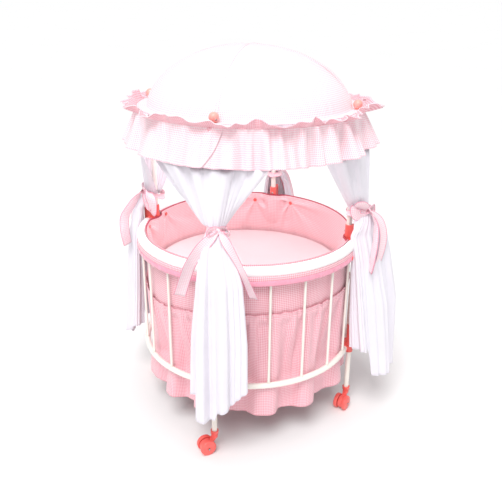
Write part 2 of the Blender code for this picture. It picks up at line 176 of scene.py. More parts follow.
def tube(name, path, radius, material, sides, closed=False):
    """A round tube along a list of points, its frame carried along so that it never twists."""
    path = [Vector(p) for p in path]
    count = len(path)
    rings = []
    side = None
    for i, point in enumerate(path):
        before = path[(i - 1) % count] if closed or i else path[0]
        after = path[(i + 1) % count] if closed or i < count - 1 else path[-1]
        along = (after - before).normalized()
        if side is None:
            side = along.orthogonal().normalized()
        side = (side - side.dot(along) * along).normalized()
        up = along.cross(side)
        r = radius(i / max(count - 1, 1)) if callable(radius) else radius
        turns = np.arange(sides) * 2 * math.pi / sides
        rings.append([point + r * (math.cos(t) * side + math.sin(t) * up) for t in turns])
    points = np.array(rings)
    if closed:
        points = np.concatenate([points, points[:1]])
    obj = grid(name, points, material, closed=True, uv=flat_uv(points, True), caps=not closed)
    if closed:
        weld(obj)
    return obj


def weld(obj):
    bm = bmesh.new()
    bm.from_mesh(obj.data)
    bmesh.ops.remove_doubles(bm, verts=bm.verts, dist=1e-5)
    bmesh.ops.recalc_face_normals(bm, faces=bm.faces)
    bm.to_mesh(obj.data)
    bm.free()


def lathe(name, profile, material, steps, smooth_angle=35.0):
    """Turn (radius, height) points about the object's own +Z. Ends on the axis are closed there."""
    turns = np.arange(steps) * 2 * math.pi / steps
    points, faces, rows = [], [], []
    for r, z in profile:
        if r == 0.0:
            rows.append([len(points)])
            points.append((0.0, 0.0, z))
        else:
            rows.append(list(range(len(points), len(points) + steps)))
            points += [(r * math.cos(t), r * math.sin(t), z) for t in turns]
    closed = profile[0][0] != 0.0
    pairs = list(zip(rows, rows[1:])) + ([(rows[-1], rows[0])] if closed else [])
    for a, b in pairs:
        for i in range(steps):
            j = (i + 1) % steps
            if len(a) == 1:
                faces.append((a[0], b[j], b[i]))
            elif len(b) == 1:
                faces.append((a[i], a[j], b[0]))
            else:
                faces.append((a[i], a[j], b[j], b[i]))
    obj = mesh_object(name, points, faces, material)
    weld(obj)
    obj.data.shade_smooth()
    obj.data.set_sharp_from_angle(angle=math.radians(smooth_angle))
    return obj


def bevelled(obj):
    bevel = obj.modifiers.new("rounding", "BEVEL")
    bevel.width = 0.0006
    bevel.segments = 2
    bevel.limit_method = "ANGLE"
    bevel.angle_limit = math.radians(35)
    return obj


def bake_modifiers(obj):
    """Replace the mesh with what its modifiers make, and remove them."""
    graph = bpy.context.evaluated_depsgraph_get()
    made = bpy.data.meshes.new_from_object(obj.evaluated_get(graph), depsgraph=graph)
    obj.modifiers.clear()
    obj.data = made
    return obj


def join(name, parts):
    """Merge objects into one piece under a name, keeping where they are."""
    bpy.context.view_layer.update()
    bm = bmesh.new()
    materials = []
    for part in parts:
        bake_modifiers(part)
        start = len(bm.faces)
        copy = part.data.copy()
        copy.transform(part.matrix_world)
        bm.from_mesh(copy)
        bm.faces.ensure_lookup_table()
        slots = [m for m in copy.materials]
        for face in bm.faces[start:]:
            own = slots[face.material_index] if slots else None
            if own not in materials:
                materials.append(own)
            face.material_index = materials.index(own)
        bpy.data.objects.remove(part)
    mesh = bpy.data.meshes.new(name)
    bm.to_mesh(mesh)
    bm.free()
    for material in materials:
        mesh.materials.append(material)
    return add_object(name, mesh)


def settle(obj, body, slot, *nodes):
    """Say which body a piece rides on and the CAD nodes that it stands for; the material slot argument is not
    used.
    """
    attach(obj, body)
    if nodes:
        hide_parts(*nodes)
    return obj


# ---------------------------------------------------------------- materials

class Nodes:
    """A few shortcuts for building one material's nodes."""

    def __init__(self, name):
        self.material = bpy.data.materials.new(name)
        self.material.use_nodes = True
        self.tree = self.material.node_tree
        self.shader = self.tree.nodes["Principled BSDF"]

    def add(self, kind, **settings):
        node = self.tree.nodes.new(kind)
        for key, value in settings.items():
            setattr(node, key, value)
        return node

    def link(self, output, target):
        self.tree.links.new(output, target)

    def math(self, operation, a, b=None):
        node = self.add("ShaderNodeMath", operation=operation)
        for slot, value in enumerate((a, b)):
            if value is None:
                continue
            if isinstance(value, (int, float)):
                node.inputs[slot].default_value = value
            else:
                self.link(value, node.inputs[slot])
        return node.outputs[0]

    def noise(self, scale, detail=2.0, roughness=0.5, stretch=None):
        node = self.add("ShaderNodeTexNoise")
        node.inputs["Scale"].default_value = scale
        node.inputs["Detail"].default_value = detail
        node.inputs["Roughness"].default_value = roughness
        vector = self.add("ShaderNodeTexCoord").outputs["Object"]
        if stretch:
            mapping = self.add("ShaderNodeMapping")
            mapping.inputs["Scale"].default_value = stretch
            self.link(vector, mapping.inputs["Vector"])
            vector = mapping.outputs[0]
        self.link(vector, node.inputs["Vector"])
        return node.outputs["Fac"]

    def mottle(self, value, colour, dark, low=0.3):
        """The colour, darkened towards a share of itself where the 0 to 1 value is low."""
        return self.ramp(value, [(low, tuple(c * dark for c in colour)), (1 - low, colour)])

    def ramp(self, value, stops, interpolation="LINEAR"):
        node = self.add("ShaderNodeValToRGB")
        node.color_ramp.interpolation = interpolation
        elements = node.color_ramp.elements
        while len(elements) < len(stops):
            elements.new(0.5)
        for element, (place, colour) in zip(elements, stops):
            element.position = place
            element.color = (*colour, 1.0)
        self.link(value, node.inputs[0])
        return node.outputs[0]

    def spread(self, value, low, high):
        node = self.add("ShaderNodeMapRange")
        self.link(value, node.inputs["Value"])
        node.inputs["To Min"].default_value = low
        node.inputs["To Max"].default_value = high
        return node.outputs["Result"]

    def tint(self, colour, value, amount):
        """Darken and lighten a colour a little by a 0 to 1 value."""
        node = self.add("ShaderNodeHueSaturation")
        self.link(colour, node.inputs["Color"])
        self.link(self.spread(value, 1.0 - amount, 1.0 + amount), node.inputs["Value"])
        return node.outputs[0]

    def bump(self, height, strength, distance, under=None):
        node = self.add("ShaderNodeBump")
        node.inputs["Strength"].default_value = strength
        node.inputs["Distance"].default_value = distance
        self.link(height, node.inputs["Height"])
        if under is not None:
            self.link(under, node.inputs["Normal"])
        return node.outputs[0]

    def finish(self, colour, roughness, normal=None, **fixed):
        if isinstance(colour, tuple):
            self.shader.inputs["Base Color"].default_value = (*colour, 1.0)
        else:
            self.link(colour, self.shader.inputs["Base Color"])
        if isinstance(roughness, (int, float)):
            self.shader.inputs["Roughness"].default_value = roughness
        else:
            self.link(roughness, self.shader.inputs["Roughness"])
        if normal is not None:
            self.link(normal, self.shader.inputs["Normal"])
        for key, value in fixed.items():
            socket = self.shader.inputs[key.replace("_", " ").title().replace("Ior", "IOR")]
            socket.default_value = value
        return self.material


def linear(*srgb):
    """A colour given as 0 to 255 screen values, as the linear values that shaders take."""
    values = [c / 255 for c in srgb]
    return tuple(c / 12.92 if c <= 0.04045 else ((c + 0.055) / 1.055) ** 2.4 for c in values)


def cloth_axes(nodes, flat=True):
    """The two thread directions: the flat cloth's, or the object's own X and Y."""
    split = nodes.add("ShaderNodeSeparateXYZ")
    if flat:
        nodes.link(nodes.add("ShaderNodeUVMap", uv_map=CLOTH_UV).outputs[0], split.inputs[0])
    else:
        nodes.link(nodes.add("ShaderNodeTexCoord").outputs["Object"], split.inputs[0])
    return split.outputs[0], split.outputs[1]


def weave_height(nodes, u, v, thread):
    """Over and under of single threads, from cloth coordinates in metres."""
    turn = 2 * math.pi / thread
    across = nodes.math("SINE", nodes.math("MULTIPLY", u, turn))
    along = nodes.math("SINE", nodes.math("MULTIPLY", v, turn))
    return nodes.math("MULTIPLY", across, along)


def gingham_cloth(name, white, pale, strong, roughness=0.55):
    """Checked cotton, from the screen colours of no stripe, one stripe and two stripes crossing."""
    nodes = Nodes(name)
    u, v = cloth_axes(nodes)
    stripes = []
    for axis in (u, v):
        repeat = nodes.math("FRACT", nodes.math("MULTIPLY", axis, 1 / CHECK))
        stripes.append(nodes.math("LESS_THAN", repeat, 0.5))
    both = nodes.math("MULTIPLY", nodes.math("ADD", *stripes), 0.5)
    shades = [(0.0, linear(*white)), (0.3, linear(*pale)), (0.8, linear(*strong))]
    checks = nodes.ramp(both, shades, "CONSTANT")
    colour = nodes.tint(checks, nodes.noise(9.0, 3.0), 0.05)
    threads = nodes.bump(weave_height(nodes, u, v, 0.0006), 0.25, 0.0002)
    crinkle = nodes.bump(nodes.noise(75.0, 4.0, 0.6), 0.30, 0.0010, threads)
    rough = nodes.spread(nodes.noise(60.0, 2.0), roughness - 0.07, roughness + 0.07)
    return nodes.finish(colour, rough, crinkle, sheen_weight=0.35, sheen_roughness=0.4)


def plain_cloth(name, colour, roughness=0.7, thread=0.0005, alpha=1.0, flat=True):
    nodes = Nodes(name)
    u, v = cloth_axes(nodes, flat)
    base = nodes.mottle(nodes.noise(14.0, 3.0), linear(*colour), 0.97, 0.35)
    threads = nodes.bump(weave_height(nodes, u, v, thread), 0.25, 0.0002)
    crinkle = nodes.bump(nodes.noise(90.0, 4.0, 0.6), 0.25, 0.0008, threads)
    rough = nodes.spread(nodes.noise(50.0), roughness - 0.06, roughness + 0.06)
    return nodes.finish(base, rough, crinkle, sheen_weight=0.3, sheen_roughness=0.4, alpha=alpha)


def satin(name, colour, roughness):
    """Ribbon satin: fine ribs across the ribbon and a soft gloss."""
    nodes = Nodes(name)
    base = nodes.mottle(nodes.noise(40.0, 2.0), linear(*colour), 0.93)
    v = cloth_axes(nodes)[1]
    ribs = nodes.math("SINE", nodes.math("MULTIPLY", v, 2 * math.pi / 0.0007))
    normal = nodes.bump(nodes.noise(120.0, 3.0), 0.2, 0.0006, nodes.bump(ribs, 0.2, 0.0001))
    rough = nodes.spread(nodes.noise(80.0), roughness - 0.06, roughness + 0.08)
    return nodes.finish(base, rough, normal, sheen_weight=0.3, sheen_roughness=0.3, anisotropic=0.4)


def moulded_plastic(name, colour, roughness=0.27):
    nodes = Nodes(name)
    base = nodes.mottle(nodes.noise(55.0, 3.0), linear(*colour), 0.93)
    scuffs = nodes.noise(420.0, 4.0, 0.65)
    rough = nodes.spread(scuffs, roughness - 0.05, roughness + 0.14)
    normal = nodes.bump(nodes.noise(900.0, 2.0), 0.10, 0.0002)
    return nodes.finish(base, rough, normal, subsurface_weight=0.12, subsurface_scale=0.002, coat_weight=0.15)


def enamel(name, colour):
    nodes = Nodes(name)
    base = nodes.mottle(nodes.noise(20.0, 3.0), linear(*colour), 0.96)
    rough = nodes.spread(nodes.noise(260.0, 3.0), 0.24, 0.36)
    normal = nodes.bump(nodes.noise(500.0, 2.0), 0.12, 0.0003)
    return nodes.finish(base, rough, normal, coat_weight=0.3, coat_roughness=0.15)


def drawn_steel(name):
    nodes = Nodes(name)
    base = nodes.ramp(nodes.noise(300.0, 3.0), [(0.3, (0.42, 0.42, 0.43)), (0.7, (0.60, 0.60, 0.61))])
    rough = nodes.spread(nodes.noise(500.0, 3.0), 0.20, 0.38)
    return nodes.finish(base, rough, nodes.bump(nodes.noise(700.0), 0.1, 0.0001), metallic=1.0)


def hardboard(name):
    nodes = Nodes(name)
    fibres = nodes.noise(180.0, 6.0, 0.7, stretch=(1.0, 0.35, 1.0))
    base = nodes.ramp(fibres, [(0.3, (0.13, 0.075, 0.038)), (0.7, (0.26, 0.16, 0.09))])
    return nodes.finish(base, 0.75, nodes.bump(fibres, 0.3, 0.0004))


# Colours are screen values from 0 to 255.
CORAL = moulded_plastic("coral_plastic", (251, 108, 101))
# The coral's shade colour: painted shade for the screws' cross recesses.
CORAL_PAINTED_SHADE = moulded_plastic("coral_recess_painted_shade", (196, 40, 40), 0.4)
ENAMEL = enamel("white_enamel", (246, 241, 232))
STEEL = drawn_steel("drawn_steel")
BOARD = hardboard("hardboard")
GINGHAM = gingham_cloth("pink_gingham", (250, 214, 220), (240, 184, 194), (228, 148, 163))
# A lighter copy of the pink gingham: painted light, for the valance's lit cloth that looks blown out white.
GINGHAM_PAINTED_LIGHT = gingham_cloth("gingham_painted_light", (255, 244, 247), (251, 224, 231), (245, 194, 207), 0.42)
# An even lighter copy of the pink gingham: painted light, for the dome's top that looks blown out white.
GINGHAM_DOME_PAINTED_LIGHT = gingham_cloth("dome_gingham_painted_light", (255, 248, 250), (253, 230, 236), (248, 203, 215))
# A lighter, low-contrast copy of the pink gingham: painted light, for the inside of the basin, which lies in
# shade.
GINGHAM_INNER_PAINTED_LIGHT = gingham_cloth("inner_gingham_painted_light", (252, 220, 223), (248, 202, 207), (243, 184, 191))
# Near-white cloth for the cuff's roll: painted highlight, the cuff's gingham as it looks when blown out by
# light.
ROLL_PAINTED_HIGHLIGHT = plain_cloth("roll_cloth_painted_highlight", (253, 251, 251))
VOILE = plain_cloth("white_voile", (241, 237, 245), 0.62, thread=0.0008, alpha=0.93)
PAD_COTTON = plain_cloth("pad_cotton", (243, 219, 221), 0.8, flat=False)
SATIN = satin("pink_satin", (247, 166, 188), 0.26)
# Dark magenta for the liner's rim: painted shade of the rim's edge seen edge-on in shadow.
PIPING_PAINTED_SHADE = satin("magenta_piping", (182, 62, 86), 0.45)
RIBBON = gingham_cloth("ribbon_gingham", (252, 234, 238), (250, 220, 227), (246, 203, 214), 0.42)
KNOB_PLASTIC = moulded_plastic("pale_coral_plastic", (255, 178, 168))


# ---------------------------------------------------------------- steel

def arc(start, stop, radius, z, step=1.5):
    count = max(2, round(abs(stop - start) / step) + 1)
    return [spot(a, radius, z) for a in np.linspace(start, stop, count)]


def side_panels():
    """A quarter of the top rail and of the lower ring, with five spindles let into both."""
    for side in SIDES:
        start = POST[side] + RAIL_GAP
        stop = POST[side] + 90 - RAIL_GAP
        parts = [tube("rail", arc(start, stop, RAIL_R, RAIL_Z), TUBE, ENAMEL, 20),
                 tube("ring", arc(start, stop, RAIL_R, RING_Z), TUBE, ENAMEL, 24)]
        for i in range(SPINDLES):
            angle = POST[side] + 90 / SPINDLES * (i + 0.5)
            rise = np.linspace(RING_Z + 0.001, RAIL_Z - 0.001, 25)
            path = [spot(angle, RAIL_R, z) for z in rise]
            parts.append(tube("spindle", path, weld_bead, ENAMEL, 12))
        settle(join(f"panel_{side}", parts), "frame", "white_steel", f"side_panel_{side}")


def weld_bead(share):
    """A spindle's radius along it: it widens into a small weld at each end."""
    end = min(share, 1 - share) * (RAIL_Z - RING_Z)
    return SPINDLE + 0.0016 * float(1 - ease(end, 0.0045, 0.0095))


def posts():
    for side in SIDES:
        for node, name, radius in (("leg", "leg_tube", LEG_R), ("canopy_pole", "pole_tube", POLE_R)):
            low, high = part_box(f"{node}_{side}")
            path = [spot(POST[side], radius, z) for z in np.linspace(low.z, high.z, 12)]
            post = bevelled(tube(f"{name}_{side}", path, POST_TUBE, ENAMEL, 24))
            settle(post, "frame", "white_steel", f"{node}_{side}")


def canopy_rods():
    """Two bent rods crossing under the dome, each between opposite poles."""
    for node, angle in (("canopy_rib_upper", POST["front"]), ("canopy_rib_lower", POST["right"])):
        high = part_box(node)[1]
        rod = 0.0025
        reach = 0.2233 - 0.0032 - rod
        centre = BRIM_Z - 0.0190
        rise = high.z - rod - centre
        turns = np.radians(np.linspace(-90, 90, 61))
        path = [math.sin(t) * reach * spot(angle, 1) + Vector((0, 0, centre + rise * math.cos(t)))
                for t in turns]
        foot = POLE_R - POST_TUBE - 0.0003
        for way, ends in ((-1, 0), (1, len(path))):
            path.insert(ends, way * foot * spot(angle, 1) + Vector((0, 0, 0.6965)))
        settle(tube(f"rod_{node[11:]}", path, rod, ENAMEL, 14), "frame", "white_steel", node)


# ---------------------------------------------------------------- moulded plastic

def rod_mesh(name, start, end, radius):
    return tube(name, [Vector(start).lerp(Vector(end), t) for t in (0, 0.5, 1)], radius, CORAL, 24)


def moulded(name, parts, voxel=0.0007, smoothing=5):
    """Fuse overlapping forms into one moulding with small fillets where they meet."""
    obj = join(name, parts)
    remesh = obj.modifiers.new("fuse", "REMESH")
    remesh.mode = "VOXEL"
    remesh.voxel_size = voxel
    soften = obj.modifiers.new("soften", "SMOOTH")
    soften.iterations = smoothing
    soften.factor = 0.6
    bake_modifiers(obj)
    obj.data.materials.clear()
    obj.data.materials.append(CORAL)
    obj.data.shade_smooth()
    return obj


def slab(name, angle, inner, outer, radius, z_low, z_high):
    """An upright prism whose outline is a slot from the inner to the outer radius."""
    outward, across = spot(angle, 1), spot(angle + 90, 1)
    rows = []
    for z, shrink in ((z_low, 0.0008), (z_low + 0.0012, 0), (z_high - 0.0012, 0), (z_high, 0.0008)):
        ring = []
        for t in (np.arange(32) + 0.5) * 2 * math.pi / 32:
            centre = outer if math.cos(t) > 0 else inner
            turn = math.cos(t) * outward + math.sin(t) * across
            ring.append(spot(angle, centre, z) + (radius - shrink) * turn)
        rows.append(ring)
    return grid(name, np.array(rows), CORAL, closed=True, caps=True)


def rail_sleeve(angle, z):
    """The sideways sleeve for two rail ends, with a raised collar at each mouth."""
    swing = math.degrees(0.019 / RAIL_R)
    collar = math.degrees(0.004 / RAIL_R)
    sleeve = [tube("sleeve", arc(angle - swing, angle + swing, RAIL_R, z, 0.6), 0.0088 - 0.0005, CORAL, 28)]
    for way in (-1, 1):
        mouth = angle + way * swing
        path = arc(mouth, mouth - way * collar, RAIL_R, z, 0.4)
        sleeve.append(tube("collar", path, 0.0088 + 0.0001, CORAL, 28))
    return sleeve


def connectors():
    for side in SIDES:
        angle = POST[side]
        low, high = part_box(f"lower_connector_{side}")
        leg = [spot(angle, LEG_R, z) for z in (low.z, low.z + 0.030, high.z - 0.004, high.z)]
        core = tube("core", leg, lambda t: 0.0088 - 0.0010 * t, CORAL, 28)
        rim = rod_mesh("rim", spot(angle, LEG_R, high.z - 0.004), spot(angle, LEG_R, high.z), 0.0086)
        inner = spot(angle, RAIL_R - 0.0105, RING_Z + 0.004)
        lug = rod_mesh("lug", spot(angle, RAIL_R, RING_Z), inner, 0.0052)
        body = moulded(f"lower_joint_{side}", [core, rim, lug, *rail_sleeve(angle, RING_Z)])
        settle(body, "frame", "coral_plastic", f"lower_connector_{side}")

        low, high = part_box(f"upper_connector_{side}")
        block = slab("block", angle, POLE_R, LEG_R, 0.0084, low.z, high.z)
        band = slab("band", angle, POLE_R, LEG_R, 0.0089, RAIL_Z + 0.009, RAIL_Z + 0.012)
        body = moulded(f"upper_joint_{side}", [block, band, *rail_sleeve(angle, RAIL_Z)])
        settle(body, "frame", "coral_plastic", f"upper_connector_{side}")
        screw(f"pole_screw_{side}", spot(angle, POLE_R - 0.0084, RAIL_Z + 0.022), -spot(angle, 1), 0.0028)


def aim(obj, point, direction):
    """Put an object's origin at a point and its +Z along a direction."""
    turn = Vector(direction).to_track_quat("Z", "Y").to_matrix().to_4x4()
    obj.matrix_world = Matrix.Translation(point) @ turn
    return obj


def screw(name, point, direction, radius):
    """A pan-head screw with a cross recess, its head proud of the surface at the point."""
    head = lathe("head", [(0.0, 0.0013), (radius * 0.55, 0.0012), (radius * 0.9, 0.0007), (radius, 0.0),
                          (radius * 0.9, -0.0006), (0.0, -0.0006)], STEEL, 28)
    parts = [head]
    slot = [(0.0, 0.00145), (0.0004, 0.00145), (0.0004, 0.0008), (0.0, 0.0008)]
    for turn in (0, 90):
        # The recess is filled with the dark red: painted shade.
        cut = lathe("cut", slot, CORAL_PAINTED_SHADE, 4)
        lengthen = Matrix.Diagonal((radius * 1600, 1, 1, 1))
        cut.matrix_world = Matrix.Rotation(math.radians(turn), 4, "Z") @ lengthen
        parts.append(cut)
    return settle(aim(join(name, parts), point, direction), "frame", "axle_steel")


def knobs():
    for side in SIDES:
        angle = POST[side]
        low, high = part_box(f"knob_{side}")
        radius = (high.x - low.x) / 2
        centre = high.z - radius
        foot = low.z - centre
        turns = np.linspace(math.asin(foot / radius), math.pi / 2, 20)
        profile = [(0.0, foot), (0.0062, foot), (0.0066, foot + 0.0006)]
        profile += [(radius * math.cos(t), radius * math.sin(t)) for t in turns[2:-1]] + [(0.0, radius)]
        ball = lathe(f"knob_ball_{side}", profile, KNOB_PLASTIC, 44, 50)
        ball.location = spot(angle, POLE_R, centre)
        settle(ball, "frame", "coral_plastic", f"knob_{side}")
        out = (spot(angle + 48, 1) * 0.92 + Vector((0, 0, -0.38))).normalized()
        screw(f"knob_screw_{side}", spot(angle, POLE_R, centre) + out * (radius - 0.0003), out, 0.0022)


def snaps():
    """Press studs beside each post: the cap on the cuff's flap and the socket inside the liner."""
    cap = [(0.0, 0.0016), (0.0020, 0.0015), (0.0033, 0.0009), (0.0036, 0.0004), (0.0040, 0.0010),
           (0.0045, 0.0006), (0.0045, 0.0), (0.0, 0.0)]
    for side in SIDES:
        for tag, away in zip("ab", STUDS):
            angle = POST[side] + away
            outward = spot(angle, 1)
            outer = aim(lathe("cap", cap, CORAL, 32), spot(angle, RAIL_R + 0.0116, RAIL_Z - 0.0215), outward)
            inner = aim(lathe("stud", cap, CORAL, 32), spot(angle, LINER_IN - 0.0020, SNAP_Z), -outward)
            settle(join(f"snap_{side}_{tag}", [outer, inner]), "frame", "coral_plastic")


# ---------------------------------------------------------------- casters

WHEEL_R = 0.01775
AXLE = 0.0020


def casters():
    for side in SIDES:
        hub = middle(f"axle_{side}")
        sideways = (middle(f"wheel_{side}_a") - middle(f"wheel_{side}_b")).normalized()
        heading = math.atan2(sideways.y, sideways.x)
        frame_at = Matrix.Translation(hub) @ Matrix.Rotation(heading, 4, "Z")
        body = f"caster_{side}"
        for tag, way in (("a", 1), ("b", -1)):
            place = middle(f"wheel_{side}_{tag}") - hub
            wheel = wheel_mesh(f"wheel_disc_{side}_{tag}")
            across = Matrix.Translation((place.dot(sideways) - way * 0.0003, 0, 0))
            wheel.matrix_world = frame_at @ across @ Matrix.Rotation(way * math.pi / 2, 4, "Y")
            settle(wheel, f"wheel_{side}_{tag}", "coral_plastic", f"wheel_{side}_{tag}")
        rod = lathe(f"axle_pin_{side}", [(0.0, -0.0187), (0.0012, -0.0186), (AXLE, -0.0181), (AXLE, 0.0181),
                                         (0.0012, 0.0186), (0.0, 0.0187)], STEEL, 24)
        rod.matrix_world = frame_at @ Matrix.Rotation(math.pi / 2, 4, "Y")
        settle(rod, body, "axle_steel", f"axle_{side}")
        hood(side, body, frame_at)
        low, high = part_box(f"caster_socket_{side}")
        socket = lathe(f"caster_ferrule_{side}", [
            (0.0026, low.z), (0.0070, low.z), (0.0076, low.z + 0.0006), (0.0087, low.z + 0.0022),
            (0.0087, high.z - 0.0020), (0.0089, high.z - 0.0016), (0.0089, high.z - 0.0004), (0.0084, high.z),
            (0.0063, high.z), (0.0063, high.z - 0.0012), (0.0026, high.z - 0.0012)], CORAL, 36)
        socket.location = spot(POST[side], LEG_R)
        settle(socket, "frame", "coral_plastic", f"caster_socket_{side}")


def wheel_mesh(name):
    """A disc wheel about its own +Z: crowned outside, recessed inside, with a rolled tread edge."""
    rolled = [(WHEEL_R - 0.0013 + 0.0013 * math.cos(t), -0.0035 - 0.0013 * math.sin(t) * 1.1)
              for t in np.radians(np.linspace(90, 0, 5))]
    crown = [(WHEEL_R - 0.0020 + 0.0020 * math.cos(t), 0.0016 + 0.0022 * math.sin(t))
             for t in np.radians(np.linspace(0, 78, 6))]
    face = [(0.0120, 0.0047), (0.0085, 0.0053), (0.0060, 0.0056), (0.0042, 0.0057), (0.0036, 0.0052),
            (0.0023, 0.0051)]
    back = [(0.0023, -0.0050), (0.0046, -0.0050), (0.0052, -0.0032), (0.0128, -0.0026), (0.0138, -0.0048)]
    return lathe(name, back + rolled + crown + face, CORAL, 56, 40)


def hood(side, body, frame_at):
    """The rounded cover between the wheels, its neck and the stem that turns in the leg."""
    swivel = Vector((0, 0.020, -WHEEL_R))          # the swivel axis on the floor, seen from the hub
    parts = []
    outline = [(0.0149 * math.cos(t), 0.0149 * math.sin(t)) for t in np.radians(np.linspace(48, 225, 26))]
    outline += [(-0.0050, -0.0062), (0.0040, -0.0055), (0.0110, 0.0030), (0.0240, 0.0150), (0.0255, 0.0195),
                (0.0140, 0.0197)]
    rows = []
    for x, shrink in ((-0.0052, 0.94), (-0.0044, 0.985), (-0.002, 1.0), (0.002, 1.0), (0.0044, 0.985),
                      (0.0052, 0.94)):
        rows.append([Vector((x, y * shrink, z * shrink)) for y, z in outline])
    parts.append(grid("shell", np.array(rows), CORAL, closed=True, caps=True))
    stem = lathe("stem", [(0.0, 0.0330), (0.0066, 0.0330), (0.0072, 0.0345), (0.0074, 0.0402),
                          (0.0068, 0.0410), (0.0023, 0.0410), (0.0023, 0.0484), (0.0, 0.0486)], CORAL, 32)
    stem.location = swivel
    parts.append(stem)
    for x in (-1, 1):
        boss = lathe("boss", [(0.0, -0.001), (0.0046, -0.001), (0.0044, 0.0008), (0.0, 0.0008)], CORAL, 24)
        boss.matrix_world = Matrix.Translation((x * 0.0052, 0, 0)) @ Matrix.Rotation(x * math.pi / 2, 4, "Y")
        parts.append(boss)
    made = moulded(f"caster_hood_{side}", parts, 0.0006, 4)
    made.matrix_world = frame_at
    settle(made, body, "coral_plastic", f"caster_housing_{side}")


# ---------------------------------------------------------------- canopy

DOME_R = 0.2233
DOME_RISE = 0.1428
BRIM_R = 0.2400
VALANCE_R = 0.2635


def from_post(angle):
    """Degrees from each angle to its nearest post, signed."""
    away = np.stack([signed(np.asarray(angle, float) - post) for post in POST.values()])
    return np.take_along_axis(away, np.abs(away).argmin(0)[None], 0)[0]


def dome_shape(angle, rise):
    """Radius and height of the dome's cloth. rise is 90 degrees at the apex."""
    rise = np.radians(rise)
    span = np.sin(2 * np.radians(from_post(angle))) ** 2
    slack = 0.0030 * span * np.sin(rise * 2) ** 0.7
    return (DOME_R - slack) * np.cos(rise), DOME_TOP - DOME_RISE + (DOME_RISE - 0.5 * slack) * np.sin(rise)


def canopy_cover():
    lowest = math.degrees(math.asin((BRIM_Z - DOME_TOP + DOME_RISE) / DOME_RISE))
    rise = np.concatenate([np.linspace(89.6, 60, 16), np.linspace(57, lowest, 34)])[:, None]
    angle = np.linspace(0, 360, 481)[None, :-1]
    radius, height = dome_shape(angle, np.clip(rise, 0, 89.9))
    low = 1 - ease(rise, lowest, lowest + 16)
    gathers = ripple(angle, [(61, 1.0), (83, 0.8), (47, 0.7)], 3)
    strain = ripple(angle + 0.6 * rise, [(9, 0.6), (14, 0.5)], 8)
    strain = strain * np.sin(np.radians(np.clip(rise, 0, 90)) * 2)
    radius = radius + 0.0005 * low * gathers * np.sin(np.pi * np.clip(low, 0, 1)) + 0.0006 * strain
    points = polar(angle, radius, height)
    brim = [polar(angle, r, BRIM_Z) for r in np.linspace(radius[-1].mean() + 0.003, BRIM_R, 5)]
    points = np.concatenate([points, np.array(brim).reshape(5, -1, 3)])
    # The dome's cover uses the lighter dome copy of the gingham: painted light.
    cover = grid("dome_cover", points, GINGHAM_DOME_PAINTED_LIGHT, closed=True, uv=gore_uv(angle[0], points),
                 thickness=0.0012, offset=-1.0)
    crown_patch(cover, points[0])
    settle(cover, "frame", "pink_gingham", "canopy_cover")


def gore_uv(angle, points):
    """Straight grain down the middle of each of the dome's four gores."""
    wrapped = np.concatenate([points, points[:, :1]], 1)
    turn = np.append(angle, 360.0)
    radius = np.linalg.norm(wrapped[..., :2], axis=2)
    across = radius * np.radians(((turn - POST["front"]) % 90) - 45)[None, :]
    down = np.concatenate([[0.0], np.cumsum(np.linalg.norm(np.diff(points, axis=0), axis=2).mean(1))])
    return np.stack([across, np.broadcast_to(down[:, None], across.shape)], -1)


def crown_patch(cover, ring):
    """Close the small hole at the dome's apex."""
    mesh = cover.data
    bm = bmesh.new()
    bm.from_mesh(mesh)
    bm.verts.ensure_lookup_table()
    bm.faces.new([bm.verts[i] for i in range(len(ring))])
    bmesh.ops.recalc_face_normals(bm, faces=bm.faces)
    bm.to_mesh(mesh)
    bm.free()
    mesh.shade_smooth()


def dome_seams():
    """Felled seams over the rods, from the apex down to each knob."""
    for side in SIDES:
        angle = POST[side]
        lift = 0.0004
        path = []
        for rise in np.linspace(86, 10.5, 60):
            radius, height = dome_shape(np.array([angle]), rise)
            path.append(spot(angle, float(radius[0]) + lift, float(height[0]) + lift * 0.6))
        across = [spot(angle + 90, 1)] * len(path)
        # The seams use the same painted-light dome copy of the gingham.
        seam = strip(f"dome_seam_{side}", path, across, [0.0030] * len(path), [GINGHAM_DOME_PAINTED_LIGHT], 0.0007)
        settle(seam, "frame", "pink_gingham")


def strip(name, path, across, half_widths, materials, thickness, cols=(-1, -0.5, 0, 0.5, 1), cup=0.0):
    """A ribbon along a path. across says which way its width lies, and cup bends its cross-section."""
    points = []
    for i, point in enumerate(path):
        along = (Vector(path[min(i + 1, len(path) - 1)]) - Vector(path[max(i - 1, 0)])).normalized()
        side = Vector(across[i]).normalized()
        side = (side - side.dot(along) * along).normalized()
        normal = along.cross(side)
        half = half_widths[i]
        points.append([Vector(point) + side * half * c + normal * cup * half * c * c for c in cols])
    points = np.array(points)
    obj = grid(name, points, materials[0], uv=flat_uv(points), thickness=thickness)
    for material in materials[1:]:
        obj.data.materials.append(material)
    return obj


def gather_strength(angle):
    """1 where the valance is finely gathered, less where it runs smooth left of the front knob."""
    turn = signed(angle)
    smooth = ease(turn, -72, -58) * (1 - ease(turn, -12, 2))
    return 1 - 0.72 * smooth


def soften_peaks(wave, roundness=0.35):
    """Fuller, flatter crests than a sine's, as folded cloth has."""
    return wave * np.sqrt((1 + roundness) / (roundness + wave ** 2))


def frill_waves(angle):
    broad = soften_peaks(ripple(angle, [(11, 0.6), (17, 0.5), (24, 0.35)], 21))
    middle_waves = soften_peaks(ripple(angle, [(43, 0.7), (58, 0.5), (36, 0.35)], 22))
    fine = ripple(angle, [(97, 0.7), (121, 0.5), (142, 0.4)], 23)
    return broad, middle_waves, fine


